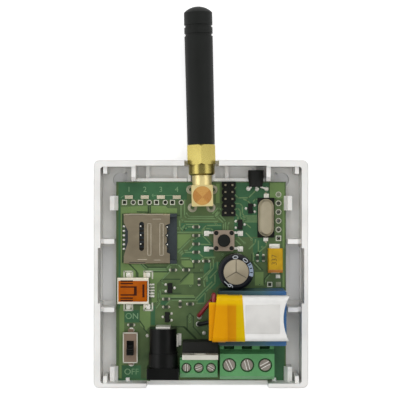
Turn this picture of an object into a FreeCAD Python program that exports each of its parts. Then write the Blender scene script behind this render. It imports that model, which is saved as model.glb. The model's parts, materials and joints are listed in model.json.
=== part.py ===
import FreeCAD, Part

import math
import os
from collections import namedtuple

from FreeCAD import Vector

# GSM boiler control module, lying on its back with its cover off. Millimetres.
# Origin: centre of the tray's back face. +X to the board's right, +Y towards the antenna, +Z to the front.
# A height called "..._z" counts from the tray's back, one called "..._rise" from the board's upper face.
# An x place of a single part or rib belongs to a board of LAYOUT_WIDTH, and spreads with the board's width.

# Circuit board
BOARD_WIDTH = 49.2
LAYOUT_WIDTH = 49.2
BOARD_LENGTH = 57.4
BOARD_THICKNESS = 1.6
BOARD_STANDOFF = 4.0        # from the tray's floor to the board's underside
LEAD_TAIL = 1.2             # how far a soldered lead stands out under the board

# Moulded tray
FLOOR = 2.0
SIDE_WALL = 1.9
TOP_WALL = 1.9
CABLE_WALL = 1.3            # the wall along the terminals
TRAY_DEPTH = 15.6
SIDE_SPACE = 4.1            # between the board's long edge and the side wall
TOP_SPACE = 4.2             # between the board's top edge and the top wall
CABLE_SPACE = 0.2           # between the board's lower edge and the cable wall
TRAY_CORNER = 1.6
CAVITY_CORNER = 0.8
BACK_EDGE = 0.6
RIM_EDGE = 0.3
ROOT = 0.4                  # how deep a rib is rooted in the floor or a wall
RIB_DROP = 1.2              # from the rim down to the top of the tall ribs
BOARD_SEAT_GAP = 0.2        # beside the board's edges
BOARD_HOLD_GAP = 0.1        # above the board's face, under hooks and nubs

LATCH_CENTRE = -0.5         # of the cover's latches, up from the tray's middle
LATCH_LENGTH = 15.8
LATCH_RELIEF = 0.7          # taken off the side wall's inner face
LATCH_SLOT_WIDTH = 3.2
LATCH_SLOT_INTO_WALL = 0.3
GUIDE_RIB = 1.3
GUIDE_RIB_GAP = 1.2         # between a latch relief and the rib beside it
GUIDE_STEP_WIDTH = 0.9
GUIDE_STEP_DROP = 2.0
GUIDE_SHELF = 1.2           # the part of a rib that carries the board

CLIP_LENGTH = 4.2
CLIP_THICK = 1.5
CLIP_HOOK = 0.6
CLIP_NOSE = 0.4
CLIP_HEIGHT = 2.3           # above the board's face
CLIP_RAMP = 1.0
UPPER_CLIP_DOWN = 6.2       # from the board's top edge to the upper clips' middle

CROSS_WALL = 0.9
CROSS_WALL_DROP = 0.3       # below the board's face
CROSS_WALL_INNER = 4.0      # where it starts, beside the antenna socket
CROSS_LEDGE = 0.5
TALL_RIB_AT = 19.3
TALL_RIB = 1.2
TALL_RIB_SLOPE = 1.2
LOW_RIB_AT = (7.5, 15.5)
LOW_RIB = 1.1
LOW_RIB_HEIGHT = 3.2
TOP_RELIEF = 0.3            # the top wall's inner face between the tall ribs
CORNER_RIB_GAP = 0.75       # to the side wall
CORNER_RIB = 1.1
CORNER_RIB_REACH = 2.0
NUB_AT = 21.2
NUB_WIDTH = 1.1
NUB_REACH = 0.85
NUB_HEIGHT = 1.8
NUB_NOSE = 0.5

CABLE_GAP_LEFT = -15.6      # lowered stretch of the cable wall
CABLE_GAP_RIGHT = 19.2
CABLE_SILL = 0.2            # below the board's face
WALL_HOLE = 4.2             # diameter
WALL_HOLE_SPACING = 47.4
WALL_HOLE_FROM_EDGE = 5.5   # from the tray's top edge
WALL_HOLE_SLIT = 0.8
WALL_HOLE_SLIT_REACH = 2.9
MARK_RADIUS = 1.45          # round marks of the ejector pins
MARK_DEPTH = 0.12
MARK_FROM_WALL = 2.2
MARK_UP = (13.0, -15.0, -24.4)

# Antenna socket and antenna. "Along" is measured on the antenna's axis, from the socket body's middle.
JACK_X = 0.35
JACK_DOWN = 4.05            # from the board's top edge to the socket body's middle
ANTENNA_LEAN = 1.35         # degrees to the left: the socket is soldered a little askew
JACK_SIDE = 6.1
JACK_HEIGHT = 6.8
JACK_AXIS_RISE = 3.6
JACK_CAP = 5.4
JACK_CAP_THICK = 0.15
JACK_LEG = 0.9
JACK_LEG_SPACING = 5.1
NECK = 5.6
NECK_END = 6.7
THREAD = 6.35               # outer diameter of the socket's threaded barrel
THREAD_END = 12.05
BARREL_BORE = 4.2
BARREL_BORE_START = 4.0
INSULATOR_GAP = 0.03
INSULATOR_BORE = 1.1
THREAD_PLAY = 0.08          # radial, between nut and barrel
NUT_FLATS = 8.0
NUT_START = 5.85
SKIRT = 7.56
SKIRT_LENGTH = 2.8
SKIRT_TAPER = 0.45
NUT_GROOVE = 0.28
NUT_GROOVE_DEPTH = 0.25
HEX_LENGTH = 5.65
HEX_CHAMFER = 0.55
NUT_SHOULDER = 1.65         # thickness of the wall that pulls the plug in
NOTCH_PLAY = 0.32           # between the nut's corners and the tray's notch
CHEEK_INNER = 3.1
CHEEK = 0.9
PLUG_SHANK = 4.6
PLUG_FLANGE = 6.0
PLUG_FLANGE_THICK = 0.75
PLUG_PLAY = 0.1
PLUG_FACE_GAP = 0.05
PLUG_PIN = 0.9
PLUG_PIN_LENGTH = 2.8
SHEATH_GAP = 0.15           # between the nut and the rubber
SHEATH_FOOT = 7.94          # diameters
SHEATH_HEAD = 8.16
SHEATH_LENGTH = 39.65
SHEATH_DOME = 1.75          # height of its round tip
SHEATH_BORE_DEPTH = 4.0
RING_WIDTH = 0.8
RING_DEPTH = 0.3
RINGS_FROM_TIP = (5.7, 8.2)

# Memory card holder. Its contacts' tails are on the left.
SIM_INSET = 2.3             # from the board's left edge
SIM_UP = 40.95              # from the board's lower edge to its middle
SIM_WIDTH = 14.5
SIM_LENGTH = 15.3
SIM_SHELL_LENGTH = 13.3
SIM_RISE = 1.9
SIM_SHEET = 0.25
SIM_PLAY = 0.05
SIM_BASE = 0.5
SIM_CARD_WIDTH = 12.4
SIM_REAR_WALL = 1.5
SIM_REAR_BITE = 1.2         # depth of the opening over the tails
SIM_REAR_BITE_EDGE = (-5.05, 4.65)      # its ends at the shell's edge, from the middle
SIM_REAR_BITE_BOTTOM = (-0.95, 2.2)     # and further in
SIM_FRONT_BITE = (0.87, 8.8, 8.0)       # depth, and width at the shell's edge and further in
SIM_FRONT_NOTCH = 0.9       # diameter of the notches in line with three contacts
SIM_SLOT = (1.4, 8.4, 0.65)             # width, length, and its middle above the shell's
SIM_SLOT_FROM_REAR = 5.15
SIM_RIB = (0.95, 9.1, -0.17)
SIM_RIB_RISE = 0.15
SIM_RIBS_FROM_REAR = (7.5, 10.95)
SIM_FOLD_NOTCH = (1.55, 4.7, 0.45)      # in the shell's folds: from the rear, length, depth
SIM_RAIL = 0.95             # raised edges of the frame in front of the shell
SIM_CONTACTS = 6
SIM_CONTACTS_OFF = 0.28     # their middle above the shell's
SIM_CONTACT_PITCH = 1.3
SIM_CONTACT_WIDTH = 0.6
SIM_CONTACT_SHEET = 0.15
SIM_TAIL_OUT = 0.35
SIM_DIMPLE_RISE = 1.25
SIM_DIMPLE_NOSE = 0.7
SIM_DIMPLE_RAMP = 2.0
SIM_FAR_ROW = 12.2

# Mini USB socket, its mouth on the board's left edge
USB_INSET = 0.55
USB_UP = 25.95
USB_LENGTH = 9.0
USB_WIDTH = 7.6
USB_RISE = 3.9
USB_SHEET = 0.3
USB_FLARE_RISE = 1.7
USB_FLARE = 0.7
USB_BLOCK = 2.2
USB_TONGUE = (5.4, 4.0, 0.9)
USB_TONGUE_RISE = 1.9
USB_PLAY = 0.03
USB_PINS = 5
USB_PIN_PITCH = 0.8
USB_PIN_WIDTH = 0.36
USB_PIN_OUT = 1.5
USB_TAB = (1.6, 1.25, 0.3)
USB_TAB_FROM_MOUTH = (2.3, 7.4)
USB_SLOT = 0.3              # width of the slots stamped in its top
USB_FINGER = (1.0, 5.4, 1.1)            # its slots' start and end from the mouth, and how far out they are
USB_SIDE_FINGER = (1.0, 4.45, 1.9, 2.55)
USB_CROSS_SLOTS = ((7.7, 3.7), (8.55, 5.8))     # from the mouth, and length
USB_PIN_STEP = (0.8, 0.3, 0.7)          # height they leave at, and the start and end of their slope

# Slide switch
SWITCH_UP = 9.6
SWITCH_WIDTH = 4.2
SWITCH_LENGTH = 8.55
SWITCH_RISE = 3.6
SWITCH_SHEET = 0.3
SWITCH_LIFT = 0.4           # the frame's lower edge above the board
SWITCH_BASE_RISE = 1.7
SWITCH_TRAVEL = 2.0
SWITCH_PLAY = 0.1
KNOB_WIDTH = 1.9
KNOB_LENGTH = 1.85
KNOB_OUT = 3.0              # above the frame
KNOB_PLATE = (3.1, 3.4, 1.1)
KNOB_GROOVES = 3
KNOB_GROOVE = 0.28
SWITCH_PIN_PITCH = 2.5
SWITCH_PIN = 0.5
SWITCH_LUG = (1.6, 0.9)

# Tact switch
TACT_X = 6.6
TACT_UP = 40.4
TACT_SIDE = 6.0
TACT_BASE_RISE = 3.0
TACT_COVER = 0.3
TACT_CORNER = 0.5
TACT_BUTTON = 3.5
TACT_BUTTON_RISE = 4.4
TACT_FLANGE = 4.4
TACT_FLANGE_THICK = 0.7
TACT_TRAVEL = 0.25
TACT_PLAY = 0.08
TACT_POST = 1.2             # diameter of the base's posts through the cover
TACT_POST_AT = 2.2
TACT_POST_RISE = 0.15
TACT_POST_PLAY = 0.05
TACT_LEG_WIDTH = 0.7
TACT_LEG_AT = 2.25
TACT_LEG_OUT = 2.6
TACT_LEG_RISE = 1.2
TACT_LEG_SHEET = 0.2
TACT_LEG_SLOPE = (0.5, 0.9) # start and end of a leg's slope, from the base

# Power socket, its mouth towards the cable wall
POWER_UP = 1.2              # its front face from the board's lower edge
POWER_WIDTH = 9.1
POWER_RISE = 11.0
POWER_FLANGE = 3.1
POWER_LENGTH = 14.2
POWER_AXIS_RISE = 6.5
POWER_BARREL = 8.2
POWER_STEP = 0.5            # the rear barrel is this much slimmer
POWER_FRONT_BARREL = 4.0
POWER_BORE = 6.3
POWER_BORE_DEPTH = 9.5
POWER_PIN = 2.1
POWER_PIN_SET_BACK = 1.2
POWER_LUG = (4.1, 0.5, 3.6)
POWER_SIDE_LUG = (0.5, 3.4, 4.6)
POWER_SIDE_LUG_FROM_REAR = 2.0
POWER_FOOT = 1.3            # the side lug's foot on the board

# Voltage regulator, standing on its leads, its tab towards the cable wall
REGULATOR_OFF = 0.4         # right of the small terminal's middle
REGULATOR_UP = 7.6          # the tab's back from the board's lower edge
REGULATOR_WIDTH = 10.0
REGULATOR_LIFT = 2.7
REGULATOR_BODY_HEIGHT = 9.2
REGULATOR_BODY_THICK = 3.1
REGULATOR_TAB_THICK = 1.3
REGULATOR_TAB_ABOVE = 6.1
REGULATOR_HOLE = 3.7
REGULATOR_HOLE_FROM_TOP = 2.8
REGULATOR_PITCH = 2.54
REGULATOR_LEAD = (0.8, 0.5)
REGULATOR_TAPER = 0.35

# Screw terminals, both mouths towards the cable wall. "In" counts from the front face.
Terminal = namedtuple(
    "Terminal",
    "name up pitch depth height chamfer_in chamfer_drop top_length back_rise back_length"
    " chamber_width chamber_in chamber_length chamber_floor mouth_rise mouth_height"
    " screw_in head bore head_thick slot shank roof"
    " cage_width cage_length cage_floor cage_window cage_top rise_range"
    " bar_width bar_thick bar_gap pin",
)
SMALL_TERMINAL = Terminal(
    name="small", up=1.5, pitch=3.5, depth=5.6, height=8.5,
    chamfer_in=1.3, chamfer_drop=1.5, top_length=3.8, back_rise=7.4, back_length=0.5,
    chamber_width=2.8, chamber_in=0.9, chamber_length=4.1, chamber_floor=0.6,
    mouth_rise=0.9, mouth_height=3.0,
    screw_in=2.85, head=2.3, bore=2.9, head_thick=1.35, slot=0.35, shank=1.9, roof=0.4,
    cage_width=2.5, cage_length=2.6, cage_floor=0.6, cage_window=2.5, cage_top=1.0, rise_range=1.2,
    bar_width=1.4, bar_thick=0.6, bar_gap=0.2, pin=0.45,
)
BIG_TERMINAL = Terminal(
    name="big", up=1.1, pitch=5.08, depth=9.6, height=10.0,
    chamfer_in=1.1, chamfer_drop=1.6, top_length=6.25, back_rise=6.8, back_length=1.2,
    chamber_width=4.0, chamber_in=1.2, chamber_length=6.2, chamber_floor=0.6,
    mouth_rise=1.2, mouth_height=4.2,
    screw_in=4.2, head=3.4, bore=4.0, head_thick=1.5, slot=0.5, shank=2.9, roof=0.4,
    cage_width=3.7, cage_length=4.2, cage_floor=0.8, cage_window=3.3, cage_top=1.2, rise_range=1.5,
    bar_width=2.4, bar_thick=0.7, bar_gap=0.2, pin=0.7,
)
POLES = 3
BLOCK_END = 0.1             # beyond the outer poles
CAGE_SEAT = 0.2             # under a cage that is all the way down
SCREW_SEAT = 0.05
SCREW_TIP_GAP = 0.15
SHANK_PLAY = 0.05
SHANK_HOLE_PLAY = 0.08
SLOT_DEPTH = 0.6
PIN_BEHIND_CAGE = 0.3
BACK_NOTCH = (2.9, 1.15)    # openings behind the big terminal's poles
BACK_NOTCH_RISE = 1.5

# The lower row: switch, power socket, small terminal and regulator, relay over the big terminal
ROW_SPARE_SPLIT = (0.38, 0.505)         # shares of the spare width: left of the switch, and right of it
POWER_TERMINAL_GAP = 0.3
TERMINAL_GAP = 0.68
REGULATOR_RELAY_GAP = 0.2

# Electrolytic capacitor
CAPACITOR_X = 9.9
CAPACITOR_UP = 31.8
CAPACITOR_DIAMETER = 10.0
CAPACITOR_RISE = 12.5
CAPACITOR_SLEEVE = 0.1
CAPACITOR_LIFT = 0.2
CAPACITOR_GAP = 0.02
CAPACITOR_SHOULDER = 0.7
CAPACITOR_FACE = 7.1        # bare metal disc on top
CAPACITOR_PITCH = 5.0
CAPACITOR_LEAD = 0.6
VENT = (2.6, 0.3, 0.15)

# Tantalum capacitor
TANTALUM_INSET = 3.15       # from the board's right edge to its middle
TANTALUM_UP = 34.65
TANTALUM_SIZE = (4.3, 7.3, 2.8)
TANTALUM_TERMINAL = (2.4, 1.3, 1.7)
TANTALUM_SHEET = 0.15

# Crystal
CRYSTAL_X = 18.8
CRYSTAL_UP = 47.0
CRYSTAL_CAN = (3.95, 10.35, 3.4)
CRYSTAL_FLANGE = 0.25
CRYSTAL_BASE = (4.9, 11.5, 0.5)
CRYSTAL_LEAD = (0.6, 1.5, 0.2)

# Pin header
HEADER_X = 8.0
HEADER_DOWN = 5.0
HEADER_PITCH = 2.0
HEADER_ROWS = 5
HEADER_RISE = 1.5
HEADER_PIN = 0.5
HEADER_PIN_RISE = 5.5
HEADER_NOTCH = 0.35

# Temperature sensor, lying over the board's top edge
SENSOR_X = 15.8
SENSOR_DOWN = 1.5           # the body's lower face from the board's top edge
SENSOR_WIDTH = 4.5
SENSOR_FOOT = 3.55          # its width at the leads
SENSOR_FLARE = 2.8          # length over which it widens
SENSOR_THICK = 3.6
SENSOR_LENGTH = 4.8
SENSOR_LIFT = 0.9
SENSOR_LEAD = 0.45
SENSOR_PITCH = 1.27
SENSOR_PAD_X = 16.5
SENSOR_PAD_PITCH = 2.6
SENSOR_PAD_DOWN = 2.1

# Relay with the rechargeable cell on it
RELAY_UP = 18.9
RELAY_SIZE = (19.0, 15.4, 15.1)
RELAY_LIFT = 0.2
RELAY_EDGE = 0.5
RELAY_PINS = ((-7.1, 0.0), (-5.1, -6.0), (-5.1, 6.0), (7.1, -6.0), (7.1, 6.0))
RELAY_PIN = 0.8
CELL_RIGHT = 10.05          # from the relay's middle
CELL_LOWER = -6.05
CELL_UPPER = 6.55
CELL_THICK = 4.4
CELL_ROUND = 1.3
CELL_HOLLOW = 1.65          # depth of the curved seal at its right end
TAPE_LEFT = (-11.35, -10.05)            # the tape's slanting left end, lower and upper corner
TAPE_LAP = (-7.63, -7.02)   # up to here it lies double
TAPE_RIGHT = (-2.2, -2.97)
TAPE_THICK = 0.12
TAPE_GAP = 0.02
END_BOARD_LEFT = -12.25
END_BOARD = (2.2, 10.6, 2.2)
END_BOARD_OFF = -0.9        # its middle above the cell's
WIRE = 1.2
WIRE_BEND = 1.6
WIRE_GAP = 0.05             # between a lead and the end board
WIRE_LEFT = -10.85
PAD_X = -0.6                # solder pads of the cell's leads
RED_PAD_UP = 18.8
RED_PAD_STANDOFF = 3.6      # the lead's upright stretch over its pad
RED_LOOP = 2.4              # how far the lead stands out from the end board
RED_ELBOW = (-0.3, 0.3, 7.0)            # from the lead's start: along X and Y, and the rise over the board
BLACK_PAD_UP = 16.2
BLACK_PAD_STANDOFF = 2.6
BLACK_DOWN = 1.7            # below the cell's middle
BLACK_ELBOW_RISE = 6.0

# Chips under the board
MODEM_X = -7.0
MODEM_UP = 33.0
MODEM_SIZE = (24.0, 24.0, 2.7)
MODEM_BOARD = 0.8
MODEM_CAN_INSET = 0.5
CONTROLLER_X = 13.0
CONTROLLER_UP = 42.5
CONTROLLER_SIDE = 7.0
CONTROLLER_THICK = 1.1
CONTROLLER_PINS = 8         # per side
CONTROLLER_PITCH = 0.8
CONTROLLER_PIN = (0.35, 1.0, 0.2)

# Small parts on top: x from the middle, up from the board's lower edge, and turned a quarter or not
CHIP_SIZE = (1.7, 0.85, 0.5)
CHIPS = (
    (-20.2, 15.9, False), (-1.4, 44.3, False), (-1.4, 41.8, False), (-1.4, 39.35, False),
    (-1.4, 37.0, False), (-1.4, 34.3, False), (1.5, 34.4, False), (-8.1, 31.8, False),
    (-4.3, 31.8, False), (-10.1, 23.4, False), (-10.1, 21.1, False), (-6.05, 21.95, True),
    (-3.15, 21.95, False), (-0.55, 28.35, True), (16.35, 35.3, True), (18.1, 35.3, True),
)
LAMP_X = (-20.9, -16.28, -11.65, -7.03)
LAMP_DOWN = 4.35
SOT_SIZE = (2.9, 1.3, 1.0)
SOT_LEG = (0.4, 0.6, 0.15)
SOT_PITCH = 0.95
SOT_BEHIND_POWER = 2.8      # from the power socket's rear to the middle of the transistor there
SOTS = (                     # place, height up the board, and the side of the two legs
    (-8.95, 26.6, -1), (-9.8, POWER_UP + POWER_LENGTH + SOT_BEHIND_POWER, 1), (14.3, 49.65, 1),
    (11.35, 45.0, -1),
)

# Free plated holes in the board
HOLE = 0.9
HOLE_PAIR = 2.54
HOLE_PAIRS_X = (-22.2, -17.55, -12.9, -8.3)
HOLE_PAIRS_DOWN = 6.0
HOLE_COLUMN_INSET = 2.15
HOLE_COLUMN_DOWN = 3.7
COLUMN_HOLES = 6

# Places that follow from the sizes above
TRAY_WIDTH = BOARD_WIDTH + 2 * (SIDE_SPACE + SIDE_WALL)
TRAY_LENGTH = CABLE_WALL + CABLE_SPACE + BOARD_LENGTH + TOP_SPACE + TOP_WALL
LEFT = -BOARD_WIDTH / 2
RIGHT = BOARD_WIDTH / 2
TRAY_TOP = TRAY_LENGTH / 2
TRAY_BOTTOM = -TRAY_LENGTH / 2
WALL_X = TRAY_WIDTH / 2 - SIDE_WALL
TOP_WALL_Y = TRAY_TOP - TOP_WALL
CABLE_WALL_Y = TRAY_BOTTOM + CABLE_WALL
BOTTOM = CABLE_WALL_Y + CABLE_SPACE
TOP = BOTTOM + BOARD_LENGTH
UNDER = FLOOR + BOARD_STANDOFF
FACE = UNDER + BOARD_THICKNESS
RIB_TOP = TRAY_DEPTH - RIB_DROP
JACK_Y = TOP - JACK_DOWN
AXIS_Z = FACE + JACK_AXIS_RISE
NUT_CORNER = NUT_FLATS / math.sqrt(3)
RELAY_Y = BOTTOM + RELAY_UP
RELAY_TOP = FACE + RELAY_LIFT + RELAY_SIZE[2]
SMALL_WIDTH = SMALL_TERMINAL.pitch * POLES + 2 * BLOCK_END
BIG_WIDTH = BIG_TERMINAL.pitch * POLES + 2 * BLOCK_END
POWER_TO_SMALL = (POWER_WIDTH + SMALL_WIDTH) / 2 + POWER_TERMINAL_GAP
SMALL_TO_BIG = (SMALL_WIDTH + BIG_WIDTH) / 2 + TERMINAL_GAP
SMALL_TO_RELAY = REGULATOR_OFF + (REGULATOR_WIDTH + RELAY_SIZE[0]) / 2 + REGULATOR_RELAY_GAP
ROW_WIDTH = SWITCH_WIDTH + POWER_WIDTH / 2 + POWER_TO_SMALL + SMALL_TO_RELAY + RELAY_SIZE[0] / 2
ROW_SPARE = BOARD_WIDTH - ROW_WIDTH
SWITCH_X = LEFT + ROW_SPARE_SPLIT[0] * ROW_SPARE + SWITCH_WIDTH / 2
POWER_X = SWITCH_X + ROW_SPARE_SPLIT[1] * ROW_SPARE + (SWITCH_WIDTH + POWER_WIDTH) / 2
SMALL_X = POWER_X + POWER_TO_SMALL
BIG_X = SMALL_X + SMALL_TO_BIG
REGULATOR_X = SMALL_X + REGULATOR_OFF
RELAY_X = SMALL_X + SMALL_TO_RELAY


# Shapes that several pieces use
def span(middle, size):
    """The two ends of a length that lies about its middle."""
    return (middle - size / 2, middle + size / 2)


def spread(x):
    """An x place on the board, spread with its width."""
    return x * BOARD_WIDTH / LAYOUT_WIDTH


def block(x, y, z):
    """A box between two values on each axis."""
    return Part.makeBox(x[1] - x[0], y[1] - y[0], z[1] - z[0], Vector(x[0], y[0], z[0]))


def disc(radius, x, y, z):
    """An upright cylinder between two heights."""
    return Part.makeCylinder(radius, z[1] - z[0], Vector(x, y, z[0]))


def sheet_in_xy(outline, z):
    """A flat outline of (x, y) points, made thick along Z."""
    points = [Vector(px, py, z[0]) for px, py in outline]
    face = Part.Face(Part.makePolygon(points + points[:1]))
    return face.extrude(Vector(0, 0, z[1] - z[0]))


def sheet_in_xz(outline, y):
    """A flat outline of (x, z) points, made thick along Y."""
    points = [Vector(px, y[0], pz) for px, pz in outline]
    face = Part.Face(Part.makePolygon(points + points[:1]))
    return face.extrude(Vector(0, y[1] - y[0], 0))


def sheet_in_yz(outline, x):
    """A flat outline of (y, z) points, made thick along X."""
    points = [Vector(x[0], py, pz) for py, pz in outline]
    face = Part.Face(Part.makePolygon(points + points[:1]))
    return face.extrude(Vector(x[1] - x[0], 0, 0))


def turned(edges_or_points, axis=Vector(0, 1, 0)):
    """A profile of (radius, height) points, or edges, turned about the axis."""
    if isinstance(edges_or_points[0], tuple):
        across = Vector(1, 0, 0)
        points = [across * r + axis * h for r, h in edges_or_points]
        wire = Part.makePolygon(points + points[:1])
    else:
        wire = Part.Wire(edges_or_points)
    return Part.Face(wire).revolve(Vector(0, 0, 0), axis, 360)


def joined(shapes):
    """Overlapping or touching solids as one."""
    whole = shapes[0].multiFuse(shapes[1:])
    return whole.removeSplitter()


def mirrored(shape):
    """The same shape on the other side of the middle plane."""
    return shape.mirror(Vector(0, 0, 0), Vector(1, 0, 0))


def both_sides(shapes):
    """Shapes on the left, and again on the right."""
    return shapes + [mirrored(shape) for shape in shapes]


def edges_along(shape, direction, test=lambda middle: True):
    """Straight edges in a direction whose middle passes a test."""
    found = []
    for edge in shape.Edges:
        if edge.Curve.TypeId != "Part::GeomLine" and "Line" not in edge.Curve.TypeId:
            continue
        way = edge.Vertexes[-1].Point - edge.Vertexes[0].Point
        if way.Length and way.cross(direction).Length < 1e-6 * way.Length:
            if test(edge.CenterOfMass):
                found.append(edge)
    return found


def edges_at_height(shape, z):
    """Edges that lie at one height."""
    return [e for e in shape.Edges if abs(e.BoundBox.ZMin - z) < 1e-6 and abs(e.BoundBox.ZMax - z) < 1e-6]


def strip(path, thick, across):
    """A bent metal strip in the XZ plane: its underside's (x, z) points, thickness, and Y ends."""
    over = [(px, pz + thick) for px, pz in reversed(path)]
    return sheet_in_xz(list(path) + over, across)


def slot_cutter(x, y, z):
    """A cutter with round ends, long in Y."""
    radius = (x[1] - x[0]) / 2
    middle = (x[0] + x[1]) / 2
    ends = [disc(radius, middle, y[0] + radius, z), disc(radius, middle, y[1] - radius, z)]
    return joined([block(x, (y[0] + radius, y[1] - radius), z)] + ends)


def square_lead(x, y, side, top_z):
    """A square lead from a height down through the board."""
    return block(span(x, side), span(y, side), (UNDER - LEAD_TAIL, top_z))


def on_antenna_axis(shape):
    """A shape made about the +Y axis at the origin, moved to the socket and leaned with it."""
    moved = shape.copy()
    moved.rotate(Vector(0, 0, 0), Vector(0, 0, 1), ANTENNA_LEAN)
    moved.translate(Vector(JACK_X, JACK_Y, AXIS_Z))
    return moved


def held_wire(points, diameter, bend):
    """A round wire along straight runs joined by arcs."""
    edges = []
    start = points[0]
    for corner, after in zip(points[1:-1], points[2:]):
        into = (corner - start).normalize()
        out = (after - corner).normalize()
        turn = into.getAngle(out)
        back = bend * math.tan(turn / 2)
        first = corner - into * back
        last = corner + out * back
        inward = (out - into).normalize()
        middle = corner + inward * (bend / math.cos(turn / 2) - bend)
        edges.append(Part.LineSegment(start, first).toShape())
        edges.append(Part.Arc(first, middle, last).toShape())
        start = last
    edges.append(Part.LineSegment(start, points[-1]).toShape())
    way = (points[1] - points[0]).normalize()
    ring = Part.Wire(Part.makeCircle(diameter / 2, points[0], way))
    return Part.Wire(edges).makePipeShell([ring], True, False)


# Moulded tray
def tray_shell():
    """The tray's floor and walls, with rounded edges."""
    outer = block(span(0, TRAY_WIDTH), span(0, TRAY_LENGTH), (0, TRAY_DEPTH))
    outer = outer.makeFillet(TRAY_CORNER, edges_along(outer, Vector(0, 0, 1)))
    outer = outer.makeChamfer(BACK_EDGE, edges_at_height(outer, 0))
    outer = outer.makeChamfer(RIM_EDGE, edges_at_height(outer, TRAY_DEPTH))
    cavity = block((-WALL_X, WALL_X), (CABLE_WALL_Y, TOP_WALL_Y), (FLOOR, TRAY_DEPTH + 1))
    cavity = cavity.makeFillet(CAVITY_CORNER, edges_along(cavity, Vector(0, 0, 1)))
    relief_x = spread(TALL_RIB_AT) - TALL_RIB / 2
    relief = block((-relief_x, relief_x), (TOP_WALL_Y - 1, TOP_WALL_Y + TOP_RELIEF), (FLOOR, TRAY_DEPTH + 1))
    return outer.cut([cavity, relief])


def guide_rib(y):
    """A rib beside a latch: it guides the cover, stands beside the board and carries it."""
    wall = -WALL_X
    root = FLOOR - ROOT
    outline = [
        (wall - ROOT - LATCH_RELIEF, root),
        (wall - ROOT - LATCH_RELIEF, RIB_TOP - GUIDE_STEP_DROP),
        (wall + GUIDE_STEP_WIDTH, RIB_TOP - GUIDE_STEP_DROP),
        (wall + GUIDE_STEP_WIDTH, RIB_TOP),
        (LEFT - BOARD_SEAT_GAP, RIB_TOP),
        (LEFT - BOARD_SEAT_GAP, UNDER),
        (LEFT + GUIDE_SHELF, UNDER),
        (LEFT + GUIDE_SHELF, root),
    ]
    return sheet_in_xz(outline, span(y, GUIDE_RIB))


def board_clip(y):
    """A springy arm with a hook over the board's edge."""
    inner = LEFT - BOARD_SEAT_GAP
    under_hook = FACE + BOARD_HOLD_GAP
    outline = [
        (inner - CLIP_THICK, FLOOR - ROOT),
        (inner - CLIP_THICK, FACE + CLIP_HEIGHT),
        (LEFT + CLIP_HOOK - CLIP_RAMP, FACE + CLIP_HEIGHT),
        (LEFT + CLIP_HOOK, under_hook + CLIP_NOSE),
        (LEFT + CLIP_HOOK, under_hook),
        (inner, under_hook),
        (inner, UNDER),
        (LEFT + GUIDE_SHELF, UNDER),
        (LEFT + GUIDE_SHELF, FLOOR - ROOT),
    ]
    return sheet_in_xz(outline, y)


def tray_side_ribs():
    """Guide ribs, clips and corner ribs of the left side."""
    rib_offset = LATCH_LENGTH / 2 + GUIDE_RIB_GAP + GUIDE_RIB / 2
    ribs = [guide_rib(LATCH_CENTRE + rib_offset), guide_rib(LATCH_CENTRE - rib_offset)]
    upper = board_clip(span(TOP - UPPER_CLIP_DOWN, CLIP_LENGTH))
    lower = board_clip((CABLE_WALL_Y - ROOT, CABLE_WALL_Y + CLIP_LENGTH))
    corner_x = (-WALL_X + CORNER_RIB_GAP, -WALL_X + CORNER_RIB_GAP + CORNER_RIB)
    height = (FLOOR - ROOT, RIB_TOP)
    top_corner = block(corner_x, (TOP_WALL_Y - CORNER_RIB_REACH, TOP_WALL_Y + ROOT), height)
    low_corner = block(corner_x, (CABLE_WALL_Y - ROOT, CABLE_WALL_Y + CORNER_RIB_REACH), height)
    return ribs + [upper, lower, top_corner, low_corner]


def tray_top_ribs():
    """The low wall at the board's top edge and the ribs behind it, of the left side."""
    root = FLOOR - ROOT
    seat = TOP + BOARD_SEAT_GAP / 2
    cross = [
        (TOP - CROSS_LEDGE, root),
        (TOP - CROSS_LEDGE, UNDER),
        (seat, UNDER),
        (seat, FACE - CROSS_WALL_DROP),
        (seat + CROSS_WALL, FACE - CROSS_WALL_DROP),
        (seat + CROSS_WALL, root),
    ]
    tall = [
        (seat, root),
        (seat, RIB_TOP - TALL_RIB_SLOPE),
        (seat + TALL_RIB_SLOPE, RIB_TOP),
        (TOP_WALL_Y + TOP_RELIEF + ROOT, RIB_TOP),
        (TOP_WALL_Y + TOP_RELIEF + ROOT, root),
    ]
    pieces = [
        sheet_in_yz(cross, (-spread(TALL_RIB_AT), -CROSS_WALL_INNER)),
        sheet_in_yz(tall, span(-spread(TALL_RIB_AT), TALL_RIB)),
    ]
    for at in LOW_RIB_AT:
        behind = (seat + CROSS_WALL / 2, TOP_WALL_Y + TOP_RELIEF + ROOT)
        pieces.append(block(span(-spread(at), LOW_RIB), behind, (root, FLOOR + LOW_RIB_HEIGHT)))
    return pieces


def tray_lower_nub():
    """A nub of the cable wall over the board's lower edge, on the left."""
    outline = [
        (CABLE_WALL_Y - ROOT, FACE + BOARD_HOLD_GAP),
        (CABLE_WALL_Y + NUB_REACH, FACE + BOARD_HOLD_GAP),
        (CABLE_WALL_Y + NUB_REACH, FACE + BOARD_HOLD_GAP + NUB_NOSE),
        (CABLE_WALL_Y - ROOT, FACE + BOARD_HOLD_GAP + NUB_HEIGHT),
    ]
    return sheet_in_yz(outline, span(-spread(NUB_AT), NUB_WIDTH))


def antenna_x_at(y):
    """Where the leaning antenna's axis passes a height on the board."""
    return JACK_X - math.tan(math.radians(ANTENNA_LEAN)) * (y - JACK_Y)


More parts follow.
